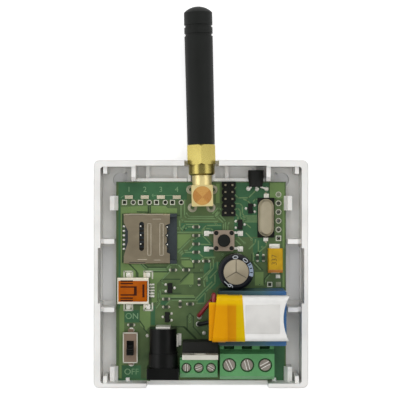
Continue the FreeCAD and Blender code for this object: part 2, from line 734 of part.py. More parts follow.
def antenna_notch():
    """The U-shaped cut for the antenna's nut in the top wall."""
    radius = NUT_CORNER + NOTCH_PLAY
    x = antenna_x_at(TOP_WALL_Y)
    start = Vector(x, TOP_WALL_Y - ROOT, AXIS_Z)
    length = TOP_WALL + 2 * ROOT
    low = Part.makeCylinder(radius, length, start, Vector(0, 1, 0))
    high = block(span(x, 2 * radius), (start.y, start.y + length), (AXIS_Z, TRAY_DEPTH + 1))
    return joined([low, high])


def antenna_cheeks():
    """Two low ribs beside the socket's neck."""
    x = antenna_x_at(TOP_WALL_Y)
    y = (TOP + BOARD_SEAT_GAP / 2, TOP_WALL_Y + TOP_RELIEF + ROOT)
    z = (FLOOR - ROOT, AXIS_Z - NUT_CORNER + CHEEK)
    return [
        block((x - CHEEK_INNER - CHEEK, x - CHEEK_INNER), y, z),
        block((x + CHEEK_INNER, x + CHEEK_INNER + CHEEK), y, z),
    ]


def latch_cuts():
    """The relief in the side wall and the slot through the floor, on the left."""
    y = span(LATCH_CENTRE, LATCH_LENGTH)
    relief = block((-WALL_X - LATCH_RELIEF, -WALL_X + ROOT), y, (FLOOR, TRAY_DEPTH + 1))
    slot_start = -WALL_X - LATCH_SLOT_INTO_WALL
    slot = block((slot_start, slot_start + LATCH_SLOT_WIDTH), y, (-1, FLOOR + 1))
    return [relief, slot]


def wall_hole():
    """The left hole for a wall screw, with its short slit."""
    x = -WALL_HOLE_SPACING / 2
    y = TRAY_TOP - WALL_HOLE_FROM_EDGE
    hole = disc(WALL_HOLE / 2, x, y, (-1, FLOOR + 1))
    slit = block((0, WALL_HOLE_SLIT_REACH), span(0, WALL_HOLE_SLIT), (-1, FLOOR + 1))
    slit.rotate(Vector(0, 0, 0), Vector(0, 0, 1), 45)
    slit.translate(Vector(x, y, 0))
    return joined([hole, slit])


def floor_marks():
    """Shallow round marks in the left gutter."""
    x = -WALL_X + MARK_FROM_WALL
    return [disc(MARK_RADIUS, x, y, (FLOOR - MARK_DEPTH, FLOOR + 1)) for y in MARK_UP]


def base_tray():
    """The whole moulding."""
    ribs = both_sides(tray_side_ribs() + tray_top_ribs() + [tray_lower_nub()])
    ledge_x = spread(TALL_RIB_AT)
    ledge = block((-ledge_x, ledge_x), (CABLE_WALL_Y - ROOT, BOTTOM + CROSS_LEDGE), (FLOOR - ROOT, UNDER))
    body = joined([tray_shell(), ledge] + ribs + antenna_cheeks())
    sill = FACE - CABLE_SILL
    gap_y = (TRAY_BOTTOM - 1, CABLE_WALL_Y + ROOT)
    gap_x = (spread(CABLE_GAP_LEFT), spread(CABLE_GAP_RIGHT))
    cable_gap = block(gap_x, gap_y, (sill, TRAY_DEPTH + 1))
    cuts = both_sides(latch_cuts() + [wall_hole()] + floor_marks())
    return body.cut(cuts + [cable_gap, antenna_notch()])


# Antenna and its socket
def hexagon(flats, along):
    """A hexagonal bar on the +Y axis with a corner to the front."""
    radius = flats / math.sqrt(3)
    angles = [math.radians(90 + 60 * n) for n in range(6)]
    outline = [(radius * math.cos(a), radius * math.sin(a)) for a in angles]
    return sheet_in_xz(outline, along)


def coupling_nut():
    """The nut that pulls the antenna onto its socket."""
    hex_start = NUT_START + SKIRT_LENGTH + NUT_GROOVE
    hex_end = hex_start + HEX_LENGTH
    corner = NUT_CORNER + HEX_CHAMFER / 4
    envelope = turned([
        (0, hex_start), (corner - HEX_CHAMFER, hex_start), (corner, hex_start + HEX_CHAMFER),
        (corner, hex_end - HEX_CHAMFER), (corner - HEX_CHAMFER, hex_end), (0, hex_end),
    ])
    skirt_radius = SKIRT / 2
    skirt = turned([
        (0, NUT_START), (skirt_radius - SKIRT_TAPER, NUT_START), (skirt_radius, NUT_START + SKIRT_TAPER),
        (skirt_radius, NUT_START + SKIRT_LENGTH), (skirt_radius - NUT_GROOVE_DEPTH, NUT_START + SKIRT_LENGTH),
        (skirt_radius - NUT_GROOVE_DEPTH, hex_start + ROOT), (0, hex_start + ROOT),
    ])
    bore = THREAD / 2 + THREAD_PLAY
    shoulder = hex_end - NUT_SHOULDER
    rear = PLUG_SHANK / 2 + PLUG_PLAY
    hollow = turned([
        (0, NUT_START - 1), (bore, NUT_START - 1), (bore, shoulder),
        (rear, shoulder), (rear, hex_end + 1), (0, hex_end + 1),
    ])
    return joined([hexagon(NUT_FLATS, (hex_start, hex_end)).common(envelope), skirt]).cut(hollow)


def plug():
    """The antenna's plug: pin, flange inside the nut, and shank into the rubber."""
    face = THREAD_END + PLUG_FACE_GAP
    hex_end = NUT_START + SKIRT_LENGTH + NUT_GROOVE + HEX_LENGTH
    shoulder = hex_end - NUT_SHOULDER - PLUG_PLAY
    flange_end = min(face + PLUG_FLANGE_THICK, shoulder)
    shank_end = hex_end + SHEATH_GAP + SHEATH_BORE_DEPTH
    return turned([
        (0, face - PLUG_PIN_LENGTH), (PLUG_PIN / 2, face - PLUG_PIN_LENGTH), (PLUG_PIN / 2, face),
        (PLUG_FLANGE / 2, face), (PLUG_FLANGE / 2, flange_end), (PLUG_SHANK / 2, flange_end),
        (PLUG_SHANK / 2, shank_end), (0, shank_end),
    ])


def sheath():
    """The rubber stub, with its domed tip and two rings."""
    start = NUT_START + SKIRT_LENGTH + NUT_GROOVE + HEX_LENGTH + SHEATH_GAP
    end = start + SHEATH_LENGTH
    inner_end = start + SHEATH_BORE_DEPTH
    near, foot, head = PLUG_SHANK / 2, SHEATH_FOOT / 2, SHEATH_HEAD / 2
    points = [(0, inner_end), (near, inner_end), (near, start), (foot, start)]
    for from_tip in sorted(RINGS_FROM_TIP, reverse=True):
        low, high = span(end - from_tip, RING_WIDTH)
        points += [(head, low), (head - RING_DEPTH, low), (head - RING_DEPTH, high), (head, high)]
    points.append((head, end - SHEATH_DOME))
    corners = [Vector(r, h, 0) for r, h in points]
    edges = [Part.LineSegment(a, b).toShape() for a, b in zip(corners, corners[1:])]
    radius = (head ** 2 + SHEATH_DOME ** 2) / (2 * SHEATH_DOME)
    turn = math.asin(head / radius) / 2
    half_way = Vector(radius * math.sin(turn), end - radius * (1 - math.cos(turn)), 0)
    tip = Vector(0, end, 0)
    edges.append(Part.Arc(corners[-1], half_way, tip).toShape())
    edges.append(Part.LineSegment(tip, corners[0]).toShape())
    return turned(edges)


def jack_body():
    """The socket: a square body, its neck and its threaded barrel."""
    bottom = -JACK_AXIS_RISE
    body = block(span(0, JACK_SIDE), span(0, JACK_SIDE), (bottom, bottom + JACK_HEIGHT))
    body = body.makeChamfer(JACK_LEG / 4, edges_along(body, Vector(0, 0, 1)))
    barrel = turned([
        (0, 0), (NECK / 2, 0), (NECK / 2, NECK_END), (THREAD / 2, NECK_END),
        (THREAD / 2, THREAD_END), (0, THREAD_END),
    ])
    bore = turned([
        (0, BARREL_BORE_START), (BARREL_BORE / 2, BARREL_BORE_START),
        (BARREL_BORE / 2, THREAD_END + 1), (0, THREAD_END + 1),
    ])
    legs = []
    for x in span(0, JACK_LEG_SPACING):
        for y in span(0, JACK_LEG_SPACING):
            tail = bottom - BOARD_THICKNESS - LEAD_TAIL
            legs.append(block(span(x, JACK_LEG), span(y, JACK_LEG), (tail, bottom + JACK_LEG)))
    return joined([body, barrel] + legs).cut(bore)


def jack_insulator():
    """The white insulator in the barrel, with the hole for the plug's pin."""
    radius = BARREL_BORE / 2 - INSULATOR_GAP
    return turned([
        (0, BARREL_BORE_START), (radius, BARREL_BORE_START), (radius, THREAD_END - INSULATOR_GAP),
        (INSULATOR_BORE / 2, THREAD_END - INSULATOR_GAP),
        (INSULATOR_BORE / 2, THREAD_END - PLUG_PIN_LENGTH - 1), (0, THREAD_END - PLUG_PIN_LENGTH - 1),
    ])


def antenna_pieces():
    """Everything on the antenna's axis."""
    cap_z = JACK_HEIGHT - JACK_AXIS_RISE
    cap = disc(JACK_CAP / 2, 0, 0, (cap_z, cap_z + JACK_CAP_THICK))
    return {
        "antenna_sheath": on_antenna_axis(sheath()),
        "antenna_plug": on_antenna_axis(plug()),
        "coupling_nut": on_antenna_axis(coupling_nut()),
        "antenna_jack_body": on_antenna_axis(jack_body()),
        "antenna_jack_insulator": on_antenna_axis(jack_insulator()),
        "antenna_jack_cap": on_antenna_axis(cap),
    }


# Memory card holder
def sim_contact(number, x, y):
    """One bent contact: tail on the board, spring arm, and a dimple under the card."""
    near_row = number % 2 == 1
    dimple = x + (SIM_SLOT_FROM_REAR if near_row else SIM_FAR_ROW)
    lift = FACE + SIM_BASE
    path = [
        (x - SIM_TAIL_OUT, FACE),
        (x + SIM_TAIL_OUT, FACE),
        (x + 2 * SIM_TAIL_OUT, lift),
        (dimple - SIM_DIMPLE_RAMP, lift),
        (dimple, FACE + SIM_DIMPLE_RISE),
        (dimple + SIM_DIMPLE_NOSE, FACE + SIM_DIMPLE_RISE - SIM_DIMPLE_NOSE / 2),
    ]
    return strip(path, SIM_CONTACT_SHEET, span(y, SIM_CONTACT_WIDTH))


def sim_shell_cuts(x, y, notch_ys):
    """Cutters for the shell's inside, its bites and notches, and the slot over the contacts."""
    end = x + SIM_SHELL_LENGTH
    top = FACE + SIM_RISE
    all_z = (FACE - 1, top + 1)
    inside = block((x - 1, end + 1), span(y, SIM_WIDTH - 2 * SIM_SHEET), (FACE - 1, top - SIM_SHEET))
    rear = [
        (x, y + SIM_REAR_BITE_EDGE[0]),
        (x + SIM_REAR_BITE, y + SIM_REAR_BITE_BOTTOM[0]),
        (x + SIM_REAR_BITE, y + SIM_REAR_BITE_BOTTOM[1]),
        (x, y + SIM_REAR_BITE_EDGE[1]),
    ]
    deep, wide, narrow = SIM_FRONT_BITE
    front = [
        (end, y - wide / 2),
        (end - deep, y - narrow / 2),
        (end - deep, y + narrow / 2),
        (end, y + wide / 2),
    ]
    slot_wide, slot_long, slot_off = SIM_SLOT
    slot = slot_cutter(span(x + SIM_SLOT_FROM_REAR, slot_wide), span(y + slot_off, slot_long), all_z)
    cuts = [inside, sheet_in_xy(rear, all_z), sheet_in_xy(front, all_z), slot]
    cuts += [disc(SIM_FRONT_NOTCH / 2, end - deep, at, all_z) for at in notch_ys]
    start, long, fold_deep = SIM_FOLD_NOTCH
    for way in (-1, 1):
        edge = y + way * SIM_WIDTH / 2
        across = sorted((edge - way * fold_deep, edge + way))
        cuts.append(block((x + start, x + start + long), across, (top - fold_deep, top + 1)))
    return cuts


def sim_shell(x, y, notch_ys):
    """The folded metal cover, with its openings and two raised ribs."""
    top = FACE + SIM_RISE
    folded = block((x, x + SIM_SHELL_LENGTH), span(y, SIM_WIDTH), (FACE, top))
    folds = edges_along(folded, Vector(1, 0, 0), lambda middle: middle.z > top - SIM_SHEET)
    folded = folded.makeFillet(2 * SIM_SHEET, folds)
    width, long, off = SIM_RIB
    rib_z = (top - SIM_SHEET / 2, top + SIM_RIB_RISE)
    ribs = [slot_cutter(span(x + at, width), span(y + off, long), rib_z) for at in SIM_RIBS_FROM_REAR]
    return joined([folded.cut(sim_shell_cuts(x, y, notch_ys))] + ribs)


def sim_frame(x, y, contacts):
    """The plastic frame: its channel for the card, and the raised edges in front of the shell."""
    inside = SIM_WIDTH - 2 * (SIM_SHEET + SIM_PLAY)
    frame_top = FACE + SIM_RISE - SIM_SHEET - SIM_PLAY
    frame = block((x + SIM_TAIL_OUT, x + SIM_LENGTH), span(y, inside), (FACE, frame_top))
    rails = []
    for way in (-1, 1):
        across = sorted((y + way * (SIM_WIDTH / 2 - SIM_RAIL), y + way * SIM_WIDTH / 2))
        ahead = (x + SIM_SHELL_LENGTH + SIM_PLAY, x + SIM_LENGTH)
        rails.append(block(ahead, across, (FACE, FACE + SIM_RISE)))
    channel_z = (FACE + SIM_BASE, FACE + SIM_RISE + 1)
    channel = block((x + SIM_REAR_WALL, x + SIM_LENGTH + 1), span(y, SIM_CARD_WIDTH), channel_z)
    return joined([frame] + rails).cut([channel] + contacts)


def sim_holder():
    """Frame, shell and contacts."""
    x = LEFT + SIM_INSET
    y = BOTTOM + SIM_UP
    first = y + SIM_CONTACTS_OFF - SIM_CONTACT_PITCH * (SIM_CONTACTS - 1) / 2
    contact_ys = [first + number * SIM_CONTACT_PITCH for number in range(SIM_CONTACTS)]
    contacts = [sim_contact(number, x, at) for number, at in enumerate(contact_ys)]
    return {
        "sim_holder_frame": sim_frame(x, y, contacts),
        "sim_holder_shell": sim_shell(x, y, contact_ys[1::2]),
        "sim_contacts": Part.makeCompound(contacts),
    }


# Mini USB socket
def usb_outline(y, inset):
    """The mouth's outline, wide above and narrow below, drawn in by an inset."""
    half = USB_WIDTH / 2 - inset
    foot = USB_WIDTH / 2 - USB_FLARE - inset
    low = FACE + inset
    high = FACE + USB_RISE - inset
    waist = FACE + USB_FLARE_RISE + inset / 2
    right = [(y + foot, low), (y + half, waist), (y + half, high)]
    left = [(y - half, high), (y - half, waist), (y - foot, low)]
    return right + left


def usb_slots(x, y, z):
    """Cutters for the top's slots: round the spring finger and the two beside it, and across behind them."""
    start, end, out = USB_FINGER
    cuts = [block(span(x + end, USB_SLOT), span(y, 2 * out + USB_SLOT), z)]
    lines = [(start, end, -out), (start, end, out)]
    start, end, near, far = USB_SIDE_FINGER
    for way in (-1, 1):
        across = span(y + way * (near + far) / 2, far - near + USB_SLOT)
        cuts.append(block(span(x + start, USB_SLOT), across, z))
        lines += [(start, end, way * near), (start, end, way * far)]
    for start, end, out in lines:
        cuts.append(block((x + start, x + end), span(y + out, USB_SLOT), z))
    for at, long in USB_CROSS_SLOTS:
        cuts.append(block(span(x + at, USB_SLOT), span(y, long), z))
    return cuts


def usb_shell(x, y):
    """The folded shell with its stamped top and its four tabs on the board."""
    end = x + USB_LENGTH
    top = FACE + USB_RISE
    shell = sheet_in_yz(usb_outline(y, 0), (x, end))
    upper_edges = edges_along(shell, Vector(1, 0, 0), lambda middle: middle.z > top - USB_SHEET)
    shell = shell.makeFillet(USB_SHEET, upper_edges)
    shell = shell.cut(sheet_in_yz(usb_outline(y, USB_SHEET), (x - 1, end + 1)))
    shell = shell.cut(usb_slots(x, y, (top - 2 * USB_SHEET, top + 1)))
    long, out, high = USB_TAB
    between = block((x, end + 1), span(y, USB_WIDTH - 2 * (USB_FLARE + USB_SHEET)), (FACE - 1, FACE + 1))
    tabs = []
    for from_mouth in USB_TAB_FROM_MOUTH:
        along = (x + from_mouth, x + from_mouth + long)
        tabs.append(block(along, span(y, USB_WIDTH + 2 * out), (FACE, FACE + high)).cut(between))
    return joined([shell] + tabs)


def usb_socket():
    """Shell, insert with its tongue, and pins."""
    x = LEFT + USB_INSET
    end = x + USB_LENGTH
    y = BOTTOM + USB_UP
    rear = sheet_in_yz(usb_outline(y, USB_SHEET + USB_PLAY), (end - USB_BLOCK, end))
    long, wide, thick = USB_TONGUE
    tongue_z = (FACE + USB_TONGUE_RISE, FACE + USB_TONGUE_RISE + thick)
    tongue = block((end - USB_BLOCK - long, end - USB_BLOCK), span(y, wide), tongue_z)
    rise, slope_start, slope_end = USB_PIN_STEP
    path = [
        (end, FACE + rise),
        (end + slope_start, FACE + rise),
        (end + slope_end, FACE),
        (end + USB_PIN_OUT, FACE),
    ]
    pins = []
    for number in range(USB_PINS):
        at = y + USB_PIN_PITCH * (number - (USB_PINS - 1) / 2)
        pins.append(strip(path, SIM_CONTACT_SHEET, span(at, USB_PIN_WIDTH)))
    return {
        "usb_shell": usb_shell(x, y),
        "usb_insert": joined([rear, tongue]),
        "usb_pins": Part.makeCompound(pins),
    }


# Slide switch
def slide_switch():
    """Frame, base and ridged knob, the knob at its lower end."""
    x = SWITCH_X
    y = BOTTOM + SWITCH_UP
    top = FACE + SWITCH_RISE
    inside = (SWITCH_WIDTH - 2 * SWITCH_SHEET, SWITCH_LENGTH - 2 * SWITCH_SHEET)
    outer = block(span(x, SWITCH_WIDTH), span(y, SWITCH_LENGTH), (FACE + SWITCH_LIFT, top))
    inner = block(span(x, inside[0]), span(y, inside[1]), (FACE, top - SWITCH_SHEET))
    window = block(
        span(x, KNOB_WIDTH + 2 * SWITCH_PLAY),
        span(y, KNOB_LENGTH + SWITCH_TRAVEL + 2 * SWITCH_PLAY),
        (top - 1, top + 1),
    )
    lug_wide, lug_out = SWITCH_LUG
    lugs = []
    for edge, way in ((y - SWITCH_LENGTH / 2, -1), (y + SWITCH_LENGTH / 2, 1)):
        across = sorted((edge - way * SWITCH_SHEET, edge + way * lug_out))
        lugs.append(block(span(x, lug_wide), across, (FACE, FACE + SWITCH_LIFT + SWITCH_SHEET)))
        lugs.append(square_lead(x, edge + way * lug_out / 2, SWITCH_PIN, FACE + SWITCH_LIFT))
    frame = joined([outer.cut([inner, window])] + lugs)
    base_top = FACE + SWITCH_BASE_RISE
    base = block(
        span(x, inside[0] - SWITCH_PLAY), span(y, inside[1] - SWITCH_PLAY), (FACE, base_top)
    )
    pins = []
    for number in (-1, 0, 1):
        pins.append(square_lead(x, y + number * SWITCH_PIN_PITCH, SWITCH_PIN, FACE))
    knob_y = y - SWITCH_TRAVEL / 2
    plate_wide, plate_long, plate_thick = KNOB_PLATE
    plate_z = (base_top + SWITCH_PLAY, base_top + SWITCH_PLAY + plate_thick)
    plate = block(span(x, plate_wide), span(knob_y, plate_long), plate_z)
    knob_top = top + KNOB_OUT
    stem = block(span(x, KNOB_WIDTH), span(knob_y, KNOB_LENGTH), (plate_z[0], knob_top))
    grooves = []
    for number in range(KNOB_GROOVES):
        at = knob_y + KNOB_LENGTH * ((number + 1) / (KNOB_GROOVES + 1) - 0.5)
        over = knob_top + KNOB_GROOVE
        groove = [(at - KNOB_GROOVE, over), (at + KNOB_GROOVE, over), (at, knob_top - KNOB_GROOVE)]
        grooves.append(sheet_in_yz(groove, span(x, KNOB_WIDTH + 1)))
    return {
        "slide_switch_frame": Part.makeCompound([frame] + pins),
        "slide_switch_base": base,
        "slide_switch_knob": joined([plate, stem]).cut(grooves),
    }


# Tact switch
def tact_switch():
    """Base, metal cover, plunger and legs."""
    x, y = spread(TACT_X), BOTTOM + TACT_UP
    base_top = FACE + TACT_BASE_RISE
    cover_top = base_top + TACT_COVER
    button = TACT_BUTTON / 2
    flange = TACT_FLANGE / 2
    flange_top = base_top - TACT_PLAY
    flange_low = flange_top - TACT_FLANGE_THICK
    posts = []
    post_holes = []
    for dx in (-TACT_POST_AT, TACT_POST_AT):
        for dy in (-TACT_POST_AT, TACT_POST_AT):
            post_z = (base_top - TACT_COVER, cover_top + TACT_POST_RISE)
            posts.append(disc(TACT_POST / 2, x + dx, y + dy, post_z))
            hole_z = (base_top - 1, cover_top + 1)
            post_holes.append(disc(TACT_POST / 2 + TACT_POST_PLAY, x + dx, y + dy, hole_z))
    base = block(span(x, TACT_SIDE), span(y, TACT_SIDE), (FACE, base_top))
    base = base.makeChamfer(TACT_CORNER, edges_along(base, Vector(0, 0, 1)))
    well = disc(flange + TACT_PLAY, x, y, (flange_low - TACT_TRAVEL - TACT_PLAY, base_top + 1))
    cover = block(span(x, TACT_SIDE), span(y, TACT_SIDE), (base_top, cover_top))
    cover = cover.makeChamfer(TACT_CORNER, edges_along(cover, Vector(0, 0, 1)))
    button_hole = disc(button + TACT_PLAY, x, y, (base_top - 1, cover_top + 1))
    stem = disc(button, x, y, (flange_low, FACE + TACT_BUTTON_RISE))
    stem = stem.makeChamfer(TACT_COVER / 2, edges_at_height(stem, FACE + TACT_BUTTON_RISE))
    legs = []
    side = TACT_SIDE / 2
    for way in (-1, 1):
        path = [
            (x + way * side, FACE + TACT_LEG_RISE),
            (x + way * (side + TACT_LEG_SLOPE[0]), FACE + TACT_LEG_RISE),
            (x + way * (side + TACT_LEG_SLOPE[1]), FACE),
            (x + way * (side + TACT_LEG_OUT), FACE),
        ]
        for at in (y - TACT_LEG_AT, y + TACT_LEG_AT):
            legs.append(strip(path, TACT_LEG_SHEET, span(at, TACT_LEG_WIDTH)))
    return {
        "tact_base": joined([base.cut(well)] + posts),
        "tact_cover": cover.cut([button_hole] + post_holes),
        "tact_plunger": joined([stem, disc(flange, x, y, (flange_low, flange_top))]),
        "tact_legs": Part.makeCompound(legs),
    }


# Power socket
def power_barrel(width, y):
    """An arch-shaped stretch of the housing, from the board to the barrel's round top."""
    axis = FACE + POWER_AXIS_RISE
    foot = block(span(POWER_X, width), y, (FACE, axis))
    arch = Part.makeCylinder(width / 2, y[1] - y[0], Vector(POWER_X, y[0], axis), Vector(0, 1, 0))
    return joined([foot, arch])


def power_socket():
    """Housing with its bore, centre pin, and the lugs behind and beside it."""
    front = BOTTOM + POWER_UP
    flange_end = front + POWER_FLANGE
    rear = front + POWER_LENGTH
    axis = FACE + POWER_AXIS_RISE
    flange = block(span(POWER_X, POWER_WIDTH), (front, flange_end), (FACE, FACE + POWER_RISE))
    flange = flange.makeFillet(RIM_EDGE, edges_along(flange, Vector(0, 1, 0)))
    barrels = [
        power_barrel(POWER_BARREL, (flange_end - 1, flange_end + POWER_FRONT_BARREL)),
        power_barrel(POWER_BARREL - POWER_STEP, (flange_end, rear)),
    ]
    bore = Part.makeCylinder(
        POWER_BORE / 2, POWER_BORE_DEPTH + 1, Vector(POWER_X, front - 1, axis), Vector(0, 1, 0)
    )
    pin_start = Vector(POWER_X, front + POWER_PIN_SET_BACK, axis)
    pin_length = rear - pin_start.y + POWER_LUG[1]
    pin = Part.makeCylinder(POWER_PIN / 2, pin_length, pin_start, Vector(0, 1, 0))
    pin = pin.makeChamfer(POWER_PIN / 5, [e for e in pin.Edges if abs(e.BoundBox.YMax - pin_start.y) < 1e-6])
    lug_wide, lug_thick, lug_rise = POWER_LUG
    lug_z = (FACE, axis + POWER_PIN / 2)
    rear_lug = block(span(POWER_X, lug_wide), (rear, rear + lug_thick), lug_z)
    rear_tail = block(span(POWER_X, lug_rise / 2), (rear, rear + lug_thick), (UNDER - LEAD_TAIL, FACE))
    side_thick, side_long, side_rise = POWER_SIDE_LUG
    side_x = POWER_X + (POWER_BARREL - POWER_STEP) / 2
    side_y = rear - POWER_SIDE_LUG_FROM_REAR
    side = block((side_x, side_x + side_thick), (side_y - side_long, side_y), (FACE, FACE + side_rise))
    tail_y = span(side_y - side_long / 2, side_long / 2)
    side_tail = block((side_x, side_x + side_thick), tail_y, (UNDER - LEAD_TAIL, FACE))
    foot = block((side_x, side_x + POWER_FOOT), (side_y - side_long, side_y), (FACE, FACE + side_thick))
    back_contact = joined([pin, rear_lug, rear_tail])
    side_contact = joined([side, side_tail, foot])
    housing = joined([flange] + barrels).cut([bore, back_contact])
    return {
        "dc_jack_housing": housing,
        "dc_jack_contacts": Part.makeCompound([back_contact, side_contact]),
    }


# Voltage regulator
def regulator():
    """Moulded body, and the tab with its hole and three leads."""
    x = REGULATOR_X
    tab_back = BOTTOM + REGULATOR_UP
    tab_front = tab_back + REGULATOR_TAB_THICK
    low = FACE + REGULATOR_LIFT
    body_top = low + REGULATOR_BODY_HEIGHT
    tab_top = body_top + REGULATOR_TAB_ABOVE
    half = REGULATOR_WIDTH / 2
    taper = REGULATOR_TAPER
    front = tab_front + REGULATOR_BODY_THICK
    side_view = [(tab_front, low), (front, low + taper), (front, body_top - taper), (tab_front, body_top)]
    body = sheet_in_yz(side_view, (x - half, x + half))
    tab = block(span(x, REGULATOR_WIDTH), (tab_back, tab_front), (low, tab_top))
    tab = tab.makeChamfer(taper, edges_along(tab, Vector(0, 1, 0), lambda m: m.z > body_top))
    hole_z = tab_top - REGULATOR_HOLE_FROM_TOP
    hole = Part.makeCylinder(REGULATOR_HOLE / 2, 4, Vector(x, tab_back - 1, hole_z), Vector(0, 1, 0))
    lead_wide, lead_thick = REGULATOR_LEAD
    lead_y = span(tab_front + REGULATOR_BODY_THICK / 2, lead_thick)
    leads = []
    for number in (-1, 0, 1):
        at = x + number * REGULATOR_PITCH
        leads.append(block(span(at, lead_wide), lead_y, (UNDER - LEAD_TAIL, low + taper)))
    return {
        "regulator_body": body.cut(leads),
        "regulator_tab": Part.makeCompound([tab.cut(hole)] + leads),
    }


# Screw terminals
def terminal_poles(size, x):
    """The middle of each pole of a block about x."""
    return [x + size.pitch * (number - (POLES - 1) / 2) for number in range(POLES)]


def terminal_heights(size):
    """Named heights inside a terminal, from the lowest to the highest."""
    cage_low = FACE + size.chamber_floor + CAGE_SEAT
    window_low = cage_low + size.cage_floor
    window_high = window_low + size.cage_window
    cage_high = window_high + size.cage_top
    bar_high = window_high - size.bar_gap
    top = FACE + size.height
    return {
        "cage": (cage_low, cage_high),
        "window": (window_low, window_high),
        "bar": (bar_high - size.bar_thick, bar_high),
        "chamber": (FACE + size.chamber_floor, cage_high + size.rise_range + CAGE_SEAT),
        "top": top,
    }


def terminal_cage(size, x, screw_y):
    """The rising cage: a frame for the wire with a threaded top."""
    z = terminal_heights(size)
    outer = block(span(x, size.cage_width), span(screw_y, size.cage_length), z["cage"])
    radius = size.shank / 2 + SHANK_PLAY
    window = block(span(x, 2 * radius), span(screw_y, size.cage_length + 1), z["window"])
    hole = disc(radius, x, screw_y, (z["window"][1] - 1, z["cage"][1] + 1))
    return outer.cut([window, hole])


def terminal_screw(size, x, screw_y, angle):
    """The screw: a slotted head over the roof and a shank down to the bar."""
    z = terminal_heights(size)
    head_low = z["chamber"][1] + size.roof + SCREW_SEAT
    head_high = head_low + size.head_thick
    head = disc(size.head / 2, x, screw_y, (head_low, head_high))
    head = head.makeChamfer(size.slot / 4, edges_at_height(head, head_high))
    shank = disc(size.shank / 2, x, screw_y, (z["bar"][1] + SCREW_TIP_GAP, head_low + ROOT))
    slot = block(span(0, size.head + 1), span(0, size.slot), (head_high - SLOT_DEPTH, head_high + 1))
    slot.rotate(Vector(0, 0, 0), Vector(0, 0, 1), angle)
    slot.translate(Vector(x, screw_y, 0))
    return joined([head, shank]).cut(slot)


def terminal_contact(size, x, front):
    """The fixed bar in the cage, with its pin through the board behind it."""
    z = terminal_heights(size)
    screw_y = front + size.screw_in
    pin_front = screw_y + size.cage_length / 2 + PIN_BEHIND_CAGE
    bar = block(
        span(x, size.bar_width), (screw_y - size.cage_length / 2, pin_front + size.pin), z["bar"]
    )
    pin_z = (UNDER - LEAD_TAIL, z["bar"][1])
    pin = block(span(x, size.bar_width / 2), (pin_front, pin_front + size.pin), pin_z)
    return joined([bar, pin])


def terminal_housing(size, middle, contacts, notched):
    """The block about a middle, with a chamber, a mouth and a screw bore for each pole."""
    z = terminal_heights(size)
    front = BOTTOM + size.up
    rear = front + size.depth
    screw_y = front + size.screw_in
    half = size.pitch * POLES / 2 + BLOCK_END
    top = z["top"]
    outline = [
        (front, FACE),
        (front, top - size.chamfer_drop),
        (front + size.chamfer_in, top),
        (front + size.chamfer_in + size.top_length, top),
        (rear - size.back_length, FACE + size.back_rise),
        (rear, FACE + size.back_rise),
        (rear, FACE),
    ]
    body = sheet_in_yz(outline, (middle - half, middle + half))
    cuts = []
    for x in terminal_poles(size, middle):
        chamber_y = (front + size.chamber_in, front + size.chamber_in + size.chamber_length)
        cuts.append(block(span(x, size.chamber_width), chamber_y, z["chamber"]))
        mouth_z = (FACE + size.mouth_rise, FACE + size.mouth_rise + size.mouth_height)
        cuts.append(block(span(x, size.chamber_width), (front - 1, chamber_y[0] + ROOT), mouth_z))
        cuts.append(disc(size.shank / 2 + SHANK_HOLE_PLAY, x, screw_y, (z["chamber"][1] - ROOT, top)))
        cuts.append(disc(size.bore / 2, x, screw_y, (z["chamber"][1] + size.roof, top + 1)))
        if notched:
            wide, deep = BACK_NOTCH
            notch_z = (FACE + BACK_NOTCH_RISE, FACE + size.back_rise + 1)
            cuts.append(block(span(x, wide), (rear - deep, rear + 1), notch_z))
    return body.cut(cuts + contacts)


def terminal(size, middle, slot_angles, notched=False):
    """One block with its screws and cages. Returns its pieces and its fixed contacts."""
    front = BOTTOM + size.up
    screw_y = front + size.screw_in
    poles = terminal_poles(size, middle)
    contacts = [terminal_contact(size, x, front) for x in poles]
    pieces = {f"{size.name}_terminal_block": terminal_housing(size, middle, contacts, notched)}
    for number, (x, angle) in enumerate(zip(poles, slot_angles), 1):
        pieces[f"{size.name}_screw_{number}"] = terminal_screw(size, x, screw_y, angle)
        pieces[f"{size.name}_cage_{number}"] = terminal_cage(size, x, screw_y)
    return pieces, contacts


# Capacitors and crystal
def round_capacitor():
    """The can with its vent score, and the sleeve shrunk over it."""
    x, y = spread(CAPACITOR_X), BOTTOM + CAPACITOR_UP
    outer = CAPACITOR_DIAMETER / 2
    inner = outer - CAPACITOR_SLEEVE
    low = FACE + CAPACITOR_LIFT
    top = FACE + CAPACITOR_RISE
    under_lip = top - CAPACITOR_SLEEVE
    sleeve = disc(outer, x, y, (low, top))
    sleeve = sleeve.makeChamfer(CAPACITOR_SHOULDER, edges_at_height(sleeve, top))
    hollow = disc(inner, x, y, (low - 1, under_lip))
    hollow = hollow.makeChamfer(CAPACITOR_SHOULDER, edges_at_height(hollow, under_lip))
    window = disc(CAPACITOR_FACE / 2, x, y, (under_lip - 1, top + 1))
    can_top = under_lip - CAPACITOR_GAP
    can = disc(inner - CAPACITOR_GAP, x, y, (low, can_top))
    can = can.makeChamfer(CAPACITOR_SHOULDER, edges_at_height(can, can_top))
    long, wide, deep = VENT
    scores = []
    for number in range(3):
        score = block((0, long), span(0, wide), (can_top - deep, can_top + 1))
        score.rotate(Vector(0, 0, 0), Vector(0, 0, 1), 90 + 120 * number)
        score.translate(Vector(x, y, 0))
        scores.append(score)
    leads = [
        square_lead(x + way * CAPACITOR_PITCH / 2, y, CAPACITOR_LEAD, low) for way in (-1, 1)
    ]
    return {
        "capacitor_can": Part.makeCompound([can.cut(scores)] + leads),
        "capacitor_sleeve": sleeve.cut([hollow, window]),
    }


